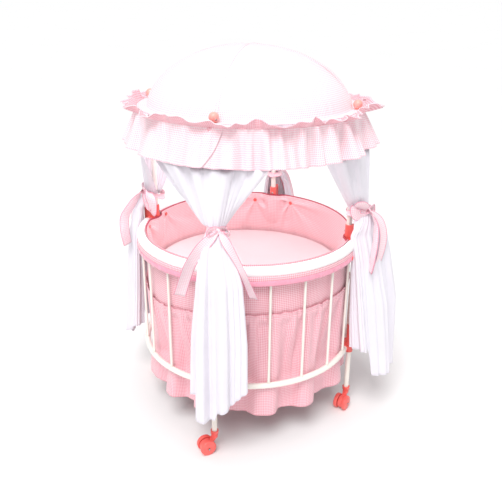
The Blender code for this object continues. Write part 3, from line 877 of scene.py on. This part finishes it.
def canopy_valance():
    """The deep frill round the dome: its two ends lap left of the front knob."""
    lap = 7.0
    start = POST["front"] - 2.0
    run = np.linspace(0, 360 + lap, 900)[None, :]
    drop = np.linspace(0, 1, 44)[:, None]
    slant = -7.5 * drop ** 1.3
    angle = start + run + slant * (1 - ease(run, 0, 40)) + slant * ease(run, 330, 360 + lap)
    broad, middle_waves, fine = frill_waves(angle)
    strength = gather_strength(angle)
    radius = GATHER_R + (VALANCE_R - GATHER_R) * drop ** 1.35
    radius = radius + 0.0030 * ease(run, 340, 360) * ease(drop, 0, 0.2)
    radius = radius + 0.0125 * drop ** 0.7 * broad * (0.6 + 0.4 * strength)
    radius = radius + 0.0118 * strength * middle_waves * np.sqrt(drop + 0.02) * (1 - 0.45 * drop)
    radius = radius + 0.0021 * strength * fine * (1 - ease(drop, 0.0, 0.60))
    height = GATHER_Z - (GATHER_Z - VALANCE_HEM) * drop
    height = height + 0.0032 * broad * drop ** 3 + 0.001 * middle_waves * drop
    points = polar(angle, np.maximum(radius, GATHER_R - 0.0010 + 0.004 * drop), height)
    # The frill and its hem use the lighter copy of the gingham: painted light.
    frill = grid("canopy_frill", points, GINGHAM_PAINTED_LIGHT, uv=flat_uv(points), thickness=0.0009)
    settle(frill, "frame", "pink_gingham", "canopy_valance")
    hem("canopy_frill_hem", points[-1], GINGHAM_PAINTED_LIGHT)
    lapped_edge(points[:, 0], points[:, 3])


def hem(name, edge, material, closed=False):
    """A narrow rolled hem along an edge of cloth."""
    if closed:
        edge = np.concatenate([edge, edge[:1]])
    settle(tube(name, edge[::2], 0.0008, material, 6), "frame", "pink_gingham")


def lapped_edge(edge, inside):
    """The folded front edge of the valance's lap, with its doubled cloth showing."""
    path = [Vector(p) for p in edge]
    across = [Vector(b) - Vector(a) for a, b in zip(edge, inside)]
    out = [Vector((p.x, p.y, 0)).normalized() * 0.0014 for p in path]
    path = [p + o + a.normalized() * 0.0035 for p, o, a in zip(path, out, across)]
    fold = strip("canopy_lap", path, across, [0.0042] * len(path), [GINGHAM], 0.0012, cup=-0.25)
    settle(fold, "frame", "pink_gingham")


def header_height(angle):
    turn = signed(angle)
    tall = np.exp(-((turn - 78) / 14) ** 2) + 0.8 * np.exp(-((turn + 104) / 14) ** 2)
    return 0.0235 + 0.0095 * tall


def canopy_header():
    """The short frill that stands up and out above the valance's gathers."""
    angle = np.linspace(0, 360, 1001)[None, :-1]
    rise = np.linspace(0, 1, 16)[:, None]
    broad, middle_waves, fine = frill_waves(angle)
    strength = gather_strength(angle)
    curl = ripple(angle, [(19, 0.7), (29, 0.6), (12, 0.5)], 31) * (0.45 + 0.55 * strength)
    tall = header_height(angle)
    lean = 0.80 + 0.26 * np.tanh(1.8 * curl + 0.8 * broad)
    out = tall * lean * rise ** 0.9
    up = tall * np.sqrt(np.clip(1.15 - lean ** 2, 0.05, 1)) * rise ** 1.1
    radius = GATHER_R + out + strength * (0.0064 * middle_waves * rise + 0.0011 * fine * rise * (1.2 - rise))
    radius = radius + 0.0040 * broad * rise ** 2
    height = GATHER_Z + up + 0.0085 * curl * rise ** 2 - 0.0022 * rise ** 3
    points = polar(angle, radius, height)
    frill = grid("canopy_header", points, GINGHAM, closed=True, uv=flat_uv(points, True), thickness=0.0009)
    settle(frill, "frame", "pink_gingham")
    # The header's hem uses the lighter copy of the gingham: painted light.
    hem("canopy_header_hem", points[-1], GINGHAM_PAINTED_LIGHT, closed=True)
    turns = np.linspace(0, 360, 361)[:-1]
    line = polar(turns, GATHER_R + 0.0011 + 0.0004 * ripple(turns, [(97, 0.7), (61, 0.5)], 40), GATHER_Z)
    gather = tube("gather_line", line, 0.0011, GINGHAM, 8, closed=True)
    settle(gather, "frame", "pink_gingham")


# ---------------------------------------------------------------- basin

def liner_edge(angle):
    """The liner's top edge, which dips under the connector at each post."""
    notch = 0.4165
    return notch + (LINER_TOP - notch) * ease(np.abs(from_post(angle)), 4.9, 6.1)


def rim_rise(angle):
    """The liner's rim stands higher at the back and is pulled down behind the roll at the front."""
    turn = signed(angle)
    return np.interp(turn, (-180, -150, -115, -60, 60, 100, 140, 165, 180),
                     (0.0040, 0.0010, -0.0035, -0.0050, -0.0050, -0.0010, 0.0030, 0.0048, 0.0040))


def lining_tuck(angle):
    """How far the lining's top edge is drawn inward, to pass inside each connector."""
    return 0.0130 * (1 - ease(np.abs(from_post(angle)), 1.4, 8.5))


def snap_creases(angle, height):
    """Creases that fan out below each press stud."""
    dent = np.zeros(np.broadcast(angle, height).shape)
    for k, post in enumerate(POST.values()):
        for n, away in enumerate(STUDS):
            x = np.radians(signed(angle - post - away)) * LINER_IN
            z = height - SNAP_Z
            reach = np.hypot(x, z)
            bearing = np.arctan2(x, -z)
            fan = np.cos(bearing * 5.0 + 1.3 * k + 0.9 * n) + 0.6 * np.cos(bearing * 9.0 + 0.7 * k)
            dent = dent + fan * ease(reach, 0.004, 0.020) * np.exp(-reach / 0.085) * (z < 0.02)
    return dent


def liner():
    angle = np.linspace(0, 360, 961)[None, :-1]
    share = np.linspace(0, 1, 46)[:, None]
    rim = LINER_TOP + rim_rise(angle)
    height = rim + (SEAM_Z + 0.0008 - rim) * share
    slump = ease(share, 0.15, 0.85)
    slack = 0.0016 * ripple(angle + 14 * share, [(11, 0.5), (17, 0.4)], 51) * slump
    gathers = 0.0007 * ripple(angle, [(71, 0.6), (93, 0.5)], 52) * ease(share, 0.55, 0.95)
    crease = snap_creases(angle, height)
    tuck = lining_tuck(angle) * (1 - ease(share, 0.25, 0.95))
    inward = (0.0021 + 0.0042 * crease * ease(np.abs(from_post(angle)), 3.0, 8.0)) * ease(share, 0.0, 0.12)
    radius = LINER_IN + 0.0006 - np.maximum(tuck, 0.0068 * slump) - slack - gathers - inward
    points = polar(angle, np.clip(radius, 0.2214, LINER_IN - 0.0006), height)
    # The lining uses the lighter inner copy of the gingham: painted light.
    lining = grid("liner_lining", points, GINGHAM_INNER_PAINTED_LIGHT, closed=True, uv=flat_uv(points, True),
                  thickness=0.0007)
    settle(lining, "frame", "pink_gingham", "liner_basin")
    # A dark magenta tube along the rim: painted shade where the rim's edge is seen in shadow.
    edge = polar(angle[0], LINER_IN + 0.0004 - lining_tuck(angle[0]), rim[0] + 0.0006)
    rim_shade = tube("liner_rim_shade", edge[::2], 0.0016, PIPING_PAINTED_SHADE, 10, closed=True)
    settle(rim_shade, "frame", "magenta_piping")

    top = liner_edge(angle)
    height = top + (SEAM_Z - seam_drop(angle) - top) * share
    puckers = 0.0012 * np.abs(ripple(angle, [(71, 0.6), (93, 0.5)], 52)) * ease(share, 0.7, 1.0)
    pull = 0.0009 * (1 + ripple(angle + 20 * share, [(13, 0.5), (21, 0.4)], 53)) * ease(share, 0.0, 0.2)
    points = polar(angle, np.minimum(LINER_OUT - puckers - pull, LINER_OUT), height)
    panel = grid("liner_panel", points, GINGHAM, closed=True, uv=flat_uv(points, True), thickness=0.0007)
    settle(panel, "frame", "pink_gingham")
    floor_cloth()


def floor_cloth():
    angle = np.linspace(0, 360, 241)[None, :-1]
    radius = np.array([0.002, 0.03, 0.08, 0.13, 0.17, 0.195, 0.210, 0.220, 0.228, 0.233, 0.2362])[:, None]
    sag = 0.0005 * ripple(angle, [(23, 0.6), (37, 0.5)], 61)
    sag = sag * ease(radius, 0.12, 0.22) * (1 - ease(radius, 0.23, 0.236))
    points = polar(angle, radius, SEAM_Z + 0.0008 + np.minimum(sag, 0.0))
    uv = np.concatenate([points, points[:, :1]], 1)[..., :2]
    floor = grid("liner_floor", points, GINGHAM, closed=True, uv=uv, thickness=0.0008)
    crown_patch(floor, points[0])
    settle(floor, "frame", "pink_gingham")


def seam_drop(angle):
    """How much lower than the basin's floor the skirt is sewn on; the most at the front left."""
    turn = signed(angle)
    return 0.003 + 0.022 * np.exp(-((turn + 60) / 30) ** 2)


def skirt():
    """Gathered onto the basin's seam under a small ruffle, it opens into broad folds to the hem."""
    angle = np.linspace(0, 360, 1441)[None, :-1]
    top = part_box("skirt")[1].z
    share = np.concatenate([np.linspace(-0.04, 0.0, 5), np.linspace(0.008, 1, 74)])[:, None]
    seam = top - 0.0085 - seam_drop(angle)
    height = seam + (SKIRT_HEM - seam) * share
    fine = ripple(angle, [(88, 0.6), (113, 0.5), (137, 0.4)], 71)
    mid = soften_peaks(ripple(angle, [(37, 0.6), (46, 0.5), (29, 0.4)], 72))
    bend = 5.0 * ripple(angle, [(3, 0.7), (5, 0.5)], 73)
    broad = soften_peaks(ripple(angle + bend * 0.5 + 3 * share, [(13, 0.75), (19, 0.40), (8, 0.3)], 74), 0.25)
    below = ease(share, 0.62, 1.0)
    envelope = 0.2398 - 0.0026 * ease(share, 0.1, 0.55) + 0.0085 * below
    depth_broad = 0.0008 + 0.0170 * ease(share, 0.02, 0.60) + 0.0080 * below
    depth_mid = 0.0065 * ease(share, 0.0, 0.10) * (1 - 0.7 * ease(share, 0.2, 0.7))
    depth_fine = 0.0013 * (1 - ease(share, 0.02, 0.30)) * ease(share, -0.02, 0.01)
    radius = envelope - depth_broad * (1 - broad) * 0.62 - depth_mid * (1 - mid) * 0.55 + depth_fine * fine
    ruffle = ease(-share, 0.0, 0.04)
    radius = np.where(share < 0, 0.2384 + 0.0022 * ruffle + 0.0011 * fine * ruffle, radius)
    height = height + np.where(share < 0, 0.0016 * ripple(angle, [(57, 0.6), (41, 0.5)], 75) * ruffle, 0)
    height = height + 0.0045 * broad * ease(share, 0.5, 1.0) + 0.0030
    height = np.maximum(height, SKIRT_HEM)
    ring_gap = 0.2376 + 1.0 * ease(np.abs(height - RING_Z), 0.0065, 0.030)
    points = polar(angle, np.minimum(radius, np.maximum(ring_gap, 0.2376)), height)
    cloth = grid("skirt_cloth", points, GINGHAM, closed=True, uv=flat_uv(points, True), thickness=0.0009)
    settle(cloth, "frame", "pink_gingham", "skirt")
    hem("skirt_hem", points[-1], GINGHAM, closed=True)


def base_board():
    low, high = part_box("base_board")
    radius = (high.x - low.x) / 2 - 0.0001
    edge = 0.0006
    profile = [(0.0, low.z), (radius - edge, low.z), (radius, low.z + edge), (radius, high.z - edge),
               (radius - edge, high.z), (0.0, high.z)]
    board = lathe("bed_board", profile, BOARD, 120)
    settle(board, "frame", "fibreboard", "base_board")


def mattress():
    """A foam disc in a sewn cotton cover: blown up a little by cloth simulation, then welted at its edges."""
    low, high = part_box("mattress")
    radius = (high.x - low.x) / 2 - 0.0012
    bottom, top = low.z, high.z - 0.0016
    edge = 0.0050
    profile = [(r, bottom) for r in np.linspace(0, radius - edge, 26)]
    for turn in np.radians([-60, -30]):
        profile.append((radius - edge + edge * math.cos(turn), bottom + edge + edge * math.sin(turn)))
    profile += [(radius, z) for z in np.linspace(bottom + edge, top - edge, 4)]
    for turn in np.radians([30, 60]):
        profile.append((radius - edge + edge * math.cos(turn), top - edge + edge * math.sin(turn)))
    profile += [(r, top) for r in np.linspace(radius - edge, 0, 26)]
    pad = lathe("mattress_pad", profile, PAD_COTTON, 120, 180)
    inflate(pad, 3.0, 0.0016, bottom)
    divide = pad.modifiers.new("fine", "SUBSURF")
    divide.levels = divide.render_levels = 1
    settle(pad, "mattress", "mattress_white", "mattress")
    for tag, z in (("top", top - edge * 0.6), ("bottom", bottom + edge * 0.8)):
        line = arc(0, 357, radius - 0.0006, z, 3)
        welt = tube(f"mattress_welt_{tag}", line, 0.0013, PAD_COTTON, 10, closed=True)
        settle(welt, "mattress", "mattress_white")


def inflate(obj, pressure, cap, floor):
    """Swell a closed cloth form by air pressure, moving no point more than cap, nor below the floor."""
    frames = 20
    before = np.array([v.co for v in obj.data.vertices])
    cloth = obj.modifiers.new("cloth", "CLOTH")
    cloth.settings.use_pressure = True
    cloth.settings.uniform_pressure_force = pressure
    cloth.settings.quality = 5
    cloth.settings.effector_weights.gravity = 0.0
    cloth.point_cache.frame_start = 1
    cloth.point_cache.frame_end = frames
    for frame_number in range(1, frames + 1):
        bpy.context.scene.frame_set(frame_number)
    bake_modifiers(obj)
    bpy.context.scene.frame_set(1)
    after = np.array([v.co for v in obj.data.vertices])
    moved = after - before
    length = np.linalg.norm(moved, axis=1, keepdims=True)
    moved *= np.minimum(1.0, cap / np.maximum(length, 1e-9))
    after = before + moved
    after[:, 2] = np.maximum(after[:, 2], floor)
    obj.data.vertices.foreach_set("co", after.astype(np.float32).ravel())
    obj.data.update()
    obj.data.shade_smooth()


# ---------------------------------------------------------------- rail cuffs

def sweep(name, section, start, stop, material, steps, wobble, seed, ends=0.0, closed=True, thickness=0.0):
    """Carry a cross-section of (outward, up) offsets from the rail along a stretch of it.

    It wavers by the share wobble, and narrows by the share ends at each end.
    """
    turns = np.linspace(start, stop, steps)
    draw = np.random.default_rng(seed)
    phases = draw.uniform(0, 2 * math.pi, 4)
    offsets = np.array(section)
    rows = []
    for i, turn in enumerate(turns):
        edge = min(i, steps - 1 - i)
        scale = 1.0 - ends * math.exp(-edge / 1.2)
        wave = sum(math.sin(math.radians(turn) * n + p) for n, p in zip((90, 134, 211, 61), phases)) / 4
        angle_round = np.arctan2(offsets[:, 1], offsets[:, 0])
        swell = 1 + wobble * wave * (1 + 0.5 * np.sin(2 * angle_round + turn / 5))
        local = offsets * scale * swell[:, None]
        rows.append([spot(turn, RAIL_R + r, RAIL_Z + z) for r, z in local])
    points = np.array(rows)
    return grid(name, points, material, closed=closed, uv=flat_uv(points, closed), caps=closed,
                thickness=thickness)


def cuffs():
    """Over a quarter of the rail: a padded roll in near-white cloth, a painted highlight that stands for its
    gingham blown out by light, a gingham strip below it and a satin binding.
    """
    roll = [(0.0108 * math.cos(t), 0.0108 * math.sin(t)) for t in np.radians(np.linspace(-58, 126, 26))]
    roll += [(0.0073 * math.cos(t), 0.0073 * math.sin(t)) for t in np.radians(np.linspace(132, -64, 12))]
    band = [(0.0076, -0.0068), (0.0096, -0.0088), (0.0101, -0.0105), (0.0103, -0.0140), (0.0104, -0.0185)]
    bind = [(0.0108, -0.0163), (0.0117, -0.0172), (0.0121, -0.0205), (0.0120, -0.0240), (0.0115, -0.0266),
            (0.0106, -0.0276), (0.0096, -0.0270), (0.0092, -0.0240), (0.0092, -0.0185), (0.0098, -0.0165)]
    for k, side in enumerate(SIDES):
        start, stop = POST[side] + 5.2, POST[side] + 84.8
        # The roll's near-white cloth is a painted highlight over the cuff's gingham.
        pad = sweep(f"cuff_roll_{side}", roll, start, stop, ROLL_PAINTED_HIGHLIGHT, 150, 0.020, 80 + k, ends=0.16)
        settle(pad, "frame", "white_roll", f"rail_cuff_{side}")
        flap = sweep(f"cuff_strip_{side}", band, start + 0.2, stop - 0.2, GINGHAM, 150, 0.006, 90 + k,
                     closed=False, thickness=0.0008)
        settle(flap, "frame", "pink_gingham")
        edge = sweep(f"cuff_binding_{side}", bind, start, stop, SATIN, 220, 0.012, 95 + k, ends=0.02)
        settle(edge, "frame", "pink_satin")


# ---------------------------------------------------------------- curtains

CURTAIN_TOP_R = 0.2425
CURL = 140.0                       # degrees from a bundle's middle round to each of its edges
# How early each side of the cloth opens above its tie: lower bulges out just above it, 1 runs straight.
SAGS = {"front": (0.45, 0.82), "right": (0.80, 0.70), "back": (0.65, 0.65), "left": (0.70, 0.80)}
# Degrees from its post that each curtain's top reaches to the left and to the right.
SPREADS = {"front": (42, 34), "right": (44, 25), "back": (38, 30), "left": (36, 26)}
# Half of how much nearer the rail each curtain's left side hangs than its right side.
HUG = {"front": 0.0, "right": 0.030, "back": 0.0, "left": -0.014}

# For each curtain: the tie's height, how far its bundle is shifted outward and to the right, the random
# seed, and the hem's rise at the left, just right of the middle and at the right.
CURTAINS = {
    "front": (0.528, 0.000, 0.009, 5, (0.052, 0.028, 0.086)),
    "right": (0.510, 0.001, 0.000, 6, (0.070, 0.004, 0.022)),
    "back": (0.515, 0.000, 0.000, 7, (0.026, 0.008, 0.034)),
    "left": (0.505, -0.014, 0.000, 8, (0.030, 0.010, 0.044)),
}
# Below its tie, at these shares of the fall, in millimetres: the radius of the bundle's middle, its depth,
# and its half-width to the left and right.
FALL_SHARES = (0.0, 0.10, 0.25, 0.55, 1.0)
FALLS = {
    "front": [(250, 22.5, 16, 16), (276, 16, 20, 48), (283, 19, 22, 68), (288, 23.5, 31, 78),
              (288, 26, 36, 78)],
    "right": [(250, 22.5, 16, 16), (275, 16, 43, 28), (286, 22, 50, 36), (300, 33, 53, 45),
              (306, 42, 54, 56)],
    "back": [(250, 22.5, 16, 16), (274, 16, 32, 32), (282, 19, 42, 42), (290, 28, 50, 50),
             (300, 37, 56, 56)],
    "left": [(250, 21, 15, 15), (274, 16, 28, 30), (283, 18.5, 36, 40), (287, 23.5, 42, 47),
             (290, 29, 48, 54)],
}


def hem_rise(across, rises):
    """How far each part of the hem ends above the lowest point: three layers of staggered length."""
    left, near, right = rises
    first = ease(across, -0.45, -0.37)
    second = ease(across, 0.10, 0.16)
    return left * (1 - first) + second * (near + (right - near) * ease(across, 0.12, 0.72))


def pleats(across, counts, phase):
    """Uneven folds across a curtain: waves with a wandering phase."""
    wander = 0.9 * np.sin(2.6 * across + phase[0]) + 0.5 * np.sin(5.1 * across + phase[1])
    total = sum(weight * np.cos(count * math.pi * across + wander + phase[2 + i])
                for i, (count, weight) in enumerate(counts))
    return soften_peaks(total, 0.3)


def curtains():
    for side in SIDES:
        tie_z, tie_out, tie_right, seed, rises = CURTAINS[side]
        phase = np.random.default_rng(seed).uniform(0, 2 * math.pi, 8)
        angle = POST[side]
        columns = 320
        across = np.linspace(-1, 1, columns)[None, :]
        upper = np.linspace(CURTAIN_TOP, tie_z, 46)[:-1, None]
        lower = np.linspace(0, 1, 84)[:, None]
        low_heights = tie_z + (CURTAIN_HEM + hem_rise(across, rises) - tie_z) * lower
        height = np.concatenate([np.broadcast_to(upper, (len(upper), columns)), low_heights])
        fan = np.clip((height - tie_z) / (CURTAIN_TOP - tie_z), 0, 1)
        fall = np.clip((tie_z - height) / (tie_z - CURTAIN_HEM), 0, 1)
        columns_of = (np.array(FALLS[side]) / 1000).T
        middle_r, depth, left, right = (np.interp(fall, FALL_SHARES, column) for column in columns_of)
        turn = np.radians(CURL) * across
        width = left + (right - left) * ease(across, -0.35, 0.35)
        swell = 0.0012 + 0.0072 * ease(fall, 0.0, 0.7) + 0.0022 * ease(fall, 0.5, 1.0)
        push = swell * (1 - 0.5 * np.abs(across)) * pleats(across, [(5.2, 0.8), (8.7, 0.45)], phase)
        fine = 0.0007 + 0.0011 * ease(fall, 0, 0.4)
        push = push + fine * pleats(across, [(17, 0.7), (23, 0.5)], phase[1:])
        near_tie = 1 - ease(fall, 0.0, 0.12)
        lean = HUG[side] * np.sin(turn) * ease(fall, 0.02, 0.14) * (1 - 0.5 * ease(fall, 0.5, 1.0))
        outward = middle_r + tie_out * near_tie + (depth + push) * np.cos(turn) + lean
        sideways = (width + push * 0.8) * np.sin(turn) + tie_right * (0.4 + 0.6 * near_tie)
        bundle = place_bundle(angle, outward, sideways, height)
        spread = SPREADS[side][0] + (SPREADS[side][1] - SPREADS[side][0]) * ease(across, -0.5, 0.5)
        belly = np.sin(math.pi * fan)
        folds = pleats(across, [(4.4, 0.8), (7.3, 0.5)], phase[3:6].tolist() + phase[:2].tolist())
        valley = np.exp(-((across - 0.52) / 0.17) ** 2) - 0.5 * np.exp(-((across - 0.86) / 0.12) ** 2)
        hung_r = CURTAIN_TOP_R + 0.0042 + 0.0060 * belly + (0.0012 + 0.0065 * belly ** 0.8) * folds
        hung = polar(angle + spread * across, np.maximum(hung_r - 0.020 * valley * belly, 0.2405), height)
        sag = SAGS[side][0] + (SAGS[side][1] - SAGS[side][0]) * ease(across, -0.6, 0.3)
        blend = (0.25 * ease(fan, -0.02, 1.02) + 0.75 * fan ** sag)[..., None]
        points = keep_inside_frill(bundle * (1 - blend) + hung * blend)
        cloth = grid(f"drape_{side}", points, VOILE, uv=flat_uv(points), thickness=0.0005)
        settle(cloth, "frame", "sheer_white", f"curtain_{side}")
        settle(tube(f"drape_hem_{side}", points[-1][::2], 0.0009, VOILE, 6), "frame", "sheer_white")


def keep_inside_frill(points):
    """Hold the cloth behind the valance where it hangs under it."""
    radius = np.hypot(points[..., 0], points[..., 1])
    room = 0.2378 + 0.400 * (1 - ease(points[..., 2], VALANCE_HEM - 0.030, VALANCE_HEM - 0.001))
    squeeze = np.minimum(1.0, room / radius)[..., None]
    return points * np.concatenate([squeeze, squeeze, np.ones_like(squeeze)], -1)


def place_bundle(angle, outward, sideways, height):
    out, side = np.array(spot(angle, 1)), np.array(spot(angle + 90, 1))
    points = outward[..., None] * out + sideways[..., None] * side
    points[..., 2] = height
    return points


# ---------------------------------------------------------------- ribbon ties

TIE_R = 0.2740                     # the knot's distance from the crib's axis, before its curtain's shift
RIBBON_HALF = 0.0125
RIBBON_COLS = (-1, -0.86, -0.82, -0.4, 0, 0.4, 0.82, 0.86, 1)

# Centre lines as millimetres right of, outward from and above each knot: two tails, then two loops.
BOWS = {
    "front": [
        [(0, 1, 0), (-10, 12, -10), (-32, 22, -34), (-53, 20, -66), (-70, 10, -104), (-86, 2, -148)],
        [(0, 1, 0), (12, 14, -9), (32, 24, -30), (50, 24, -62), (60, 12, -98), (70, 0, -134)],
        [(0, 0, 1), (-12, 8, 4), (-23, 10, -4), (-28, 10, -18), (-20, 13, -22), (-9, 11, -10), (0, 1, -2)],
        [(0, 0, 1), (10, 9, 9), (22, 9, 10), (30, 8, 0), (23, 10, -8), (10, 12, -6), (0, 1, -2)],
    ],
    "right": [
        [(0, 1, 0), (-6, 10, -8), (-20, 20, -24), (-34, 24, -52), (-36, 22, -90), (-34, 18, -128)],
        [(0, 1, 0), (2, 14, -6), (4, 30, -26), (2, 38, -56), (-4, 36, -92), (-8, 26, -140)],
        [(0, 0, 1), (-12, -2, 12), (-26, -12, 20), (-34, -26, 14), (-26, -22, -8),
         (-10, -2, -10), (0, 1, -2)],
        [(0, 0, 1), (10, 6, 8), (24, 6, 2), (30, 4, -14), (22, 8, -22), (8, 10, -10), (0, 1, -2)],
    ],
    "left": [
        [(0, 1, 0), (-4, 12, -6), (-6, 26, -30), (-4, 36, -62), (0, 36, -100), (6, 34, -140)],
        [(0, 1, 0), (10, 8, -8), (26, 20, -28), (40, 34, -56), (44, 34, -90), (42, 30, -124)],
        [(0, 0, 1), (-10, 6, 8), (-24, 4, 4), (-30, 2, -12), (-22, 6, -20), (-8, 8, -10), (0, 1, -2)],
        [(0, 0, 1), (12, -6, 10), (22, -20, 4), (26, -30, -20), (22, -26, -46), (12, -8, -22), (0, 1, -2)],
    ],
}
BOWS = {side: [[tuple(value / 1000 for value in point) for point in route] for route in routes]
        for side, routes in BOWS.items()}
BOWS["back"] = [[(0.55 * right, 0.7 * out, up) for right, out, up in route] for route in BOWS["front"]]
# How far to its right each knot sits on its bundle, and how far in, to lie on the cloth.
KNOTS = {"front": (0.0125, -0.0060), "right": (-0.0100, -0.0045), "back": (0.0, 0.0),
         "left": (0.0100, -0.0045)}
LOOP_SIZE = {"front": 0.60, "right": 0.85, "back": 0.7, "left": 1.0}


def smooth_path(points, count):
    """A Catmull-Rom curve through a few points."""
    points = [Vector(p) for p in points]
    padded = [2 * points[0] - points[1], *points, 2 * points[-1] - points[-2]]
    made = []
    for share in np.linspace(0, len(points) - 1 - 1e-9, count):
        i = int(share)
        t = share - i
        a, b, c, d = padded[i:i + 4]
        made.append(0.5 * (2 * b + (c - a) * t + (2 * a - 5 * b + 4 * c - d) * t ** 2
                           + (3 * b - a - 3 * c + d) * t ** 3))
    return made


def ribbon(name, path, across, half_widths, cup):
    """Gingham ribbon with a satin selvedge down each side."""
    obj = strip(name, path, across, half_widths, [RIBBON, SATIN], 0.0005, RIBBON_COLS, cup)
    columns = len(RIBBON_COLS) - 1
    for face in obj.data.polygons:
        face.material_index = 1 if face.index % columns in (0, columns - 1) else 0
    return obj


def ties():
    for side in SIDES:
        tie_z, tie_out, tie_right = CURTAINS[side][:3]
        angle = POST[side]
        right, out, up = spot(angle + 90, 1), spot(angle, 1), Vector((0, 0, 1))
        knot = spot(angle, TIE_R + tie_out, tie_z) + right * tie_right

        def at(point):
            return knot + right * point[0] + out * point[1] + up * point[2]

        turns = np.linspace(0, 2 * math.pi, 61)
        loop = [at((0.0185 * math.sin(t), -0.0250 + 0.0250 * math.cos(t), 0.006 * math.cos(t) - 0.004))
                for t in turns]
        half = [0.0058 + 0.0012 * math.sin(5 * t) for t in turns]
        parts = [ribbon("wrap", loop, [up] * len(loop), half, 0.25)]
        knot = at((KNOTS[side][0], KNOTS[side][1], 0))
        loop = [at((0.0004 * math.sin(2 * t), 0.0022 + 0.0050 * math.cos(t), 0.0066 * math.sin(t)))
                for t in turns]
        half = [0.0056 + 0.0006 * math.sin(3 * t) for t in turns]
        parts.append(ribbon("knot", loop, [right] * len(loop), half, 0.3))
        for k, route in enumerate(BOWS[side]):
            size = LOOP_SIZE[side] if k > 1 else 1.0
            path = smooth_path([at(Vector(point) * size) for point in route], 48)
            shares = np.linspace(0, 1, 48)
            if k < 2:
                twist = -1 if k == 0 else 1
                widths = [RIBBON_HALF * (0.32 + 0.68 * float(ease(s, 0.02, 0.40))) for s in shares]
                lean = [right * (1 - 0.3 * s) + out * (0.5 * math.sin(2.6 * s) * twist) for s in shares]
            else:
                widths = [RIBBON_HALF * (0.30 + 0.62 * math.sin(math.pi * s) ** 0.8) for s in shares]
                lean = [out * 0.55 + up * 0.75] * len(shares)
            parts.append(ribbon("tail", path, lean, widths, 0.16))
        settle(join(f"tie_{side}", parts), "frame", "pink_gingham")


# ---------------------------------------------------------------- stage

def camera():
    """The fitted view: the angles are in radians."""
    data = bpy.data.cameras.new("camera")
    data.sensor_width = 36
    data.lens = 45.2
    eye = add_object("camera", data)
    pitch, yaw, roll = 0.3893, 0.0048, 0.0103
    turn = Matrix.Rotation(-yaw, 4, "Z") @ Matrix.Rotation(math.pi / 2 - pitch, 4, "X")
    turn = turn @ Matrix.Rotation(roll, 4, "Z")
    eye.matrix_world = Matrix.Translation((0, -1.3798, 0.9445)) @ turn
    bpy.context.scene.camera = eye


def studio():
    """A pale floor that reaches the horizon, a soft sun, two area lamps and a small one under the dome."""
    nodes = Nodes("studio_floor")
    shade = nodes.ramp(nodes.noise(1.5, 2.0), [(0.3, (0.88, 0.88, 0.88)), (0.7, (0.90, 0.90, 0.90))])
    nodes.finish(shade, 0.85, nodes.bump(nodes.noise(60.0), 0.05, 0.001))
    far = 400.0
    corners = np.array([[(-far, -far, 0), (far, -far, 0)], [(-far, far, 0), (far, far, 0)]])
    floor = grid("floor", corners, nodes.material)
    world = bpy.data.worlds.new("studio_sky")
    bpy.context.scene.world = world
    world.use_nodes = True
    sky_light = world.node_tree.nodes["Background"]
    sky_light.inputs["Color"].default_value = (1.0, 1.0, 1.0, 1.0)
    sky_light.inputs["Strength"].default_value = 0.62
    bpy.context.scene.view_settings.view_transform = "Standard"
    sky = bpy.data.lights.new("skylight", "SUN")
    sky.energy = 2.05
    sky.angle = math.radians(28)
    point_at(add_object("skylight", sky), (-0.25, -1.0, 1.5), (0, 0, 0))
    lamps = (("key", (-1.0, -1.7, 1.9), 1.4, 5), ("top", (0.1, -0.1, 2.4), 1.2, 6),
             ("canopy_fill", (0, 0, 0.80), 0.22, 1.1))
    for name, place, size, watts in lamps:
        lamp = bpy.data.lights.new(name, "AREA")
        lamp.energy = watts
        lamp.size = size
        point_at(add_object(name, lamp), place, (0, 0, 0.5))


def point_at(light, place, target):
    light.location = place
    light.rotation_mode = "QUATERNION"
    light.rotation_quaternion = (Vector(target) - Vector(place)).to_track_quat("-Z", "Y")


camera()
studio()
side_panels()
posts()
canopy_rods()
connectors()
knobs()
snaps()
casters()
canopy_cover()
dome_seams()
canopy_valance()
canopy_header()
liner()
skirt()
base_board()
mattress()
cuffs()
curtains()
ties()
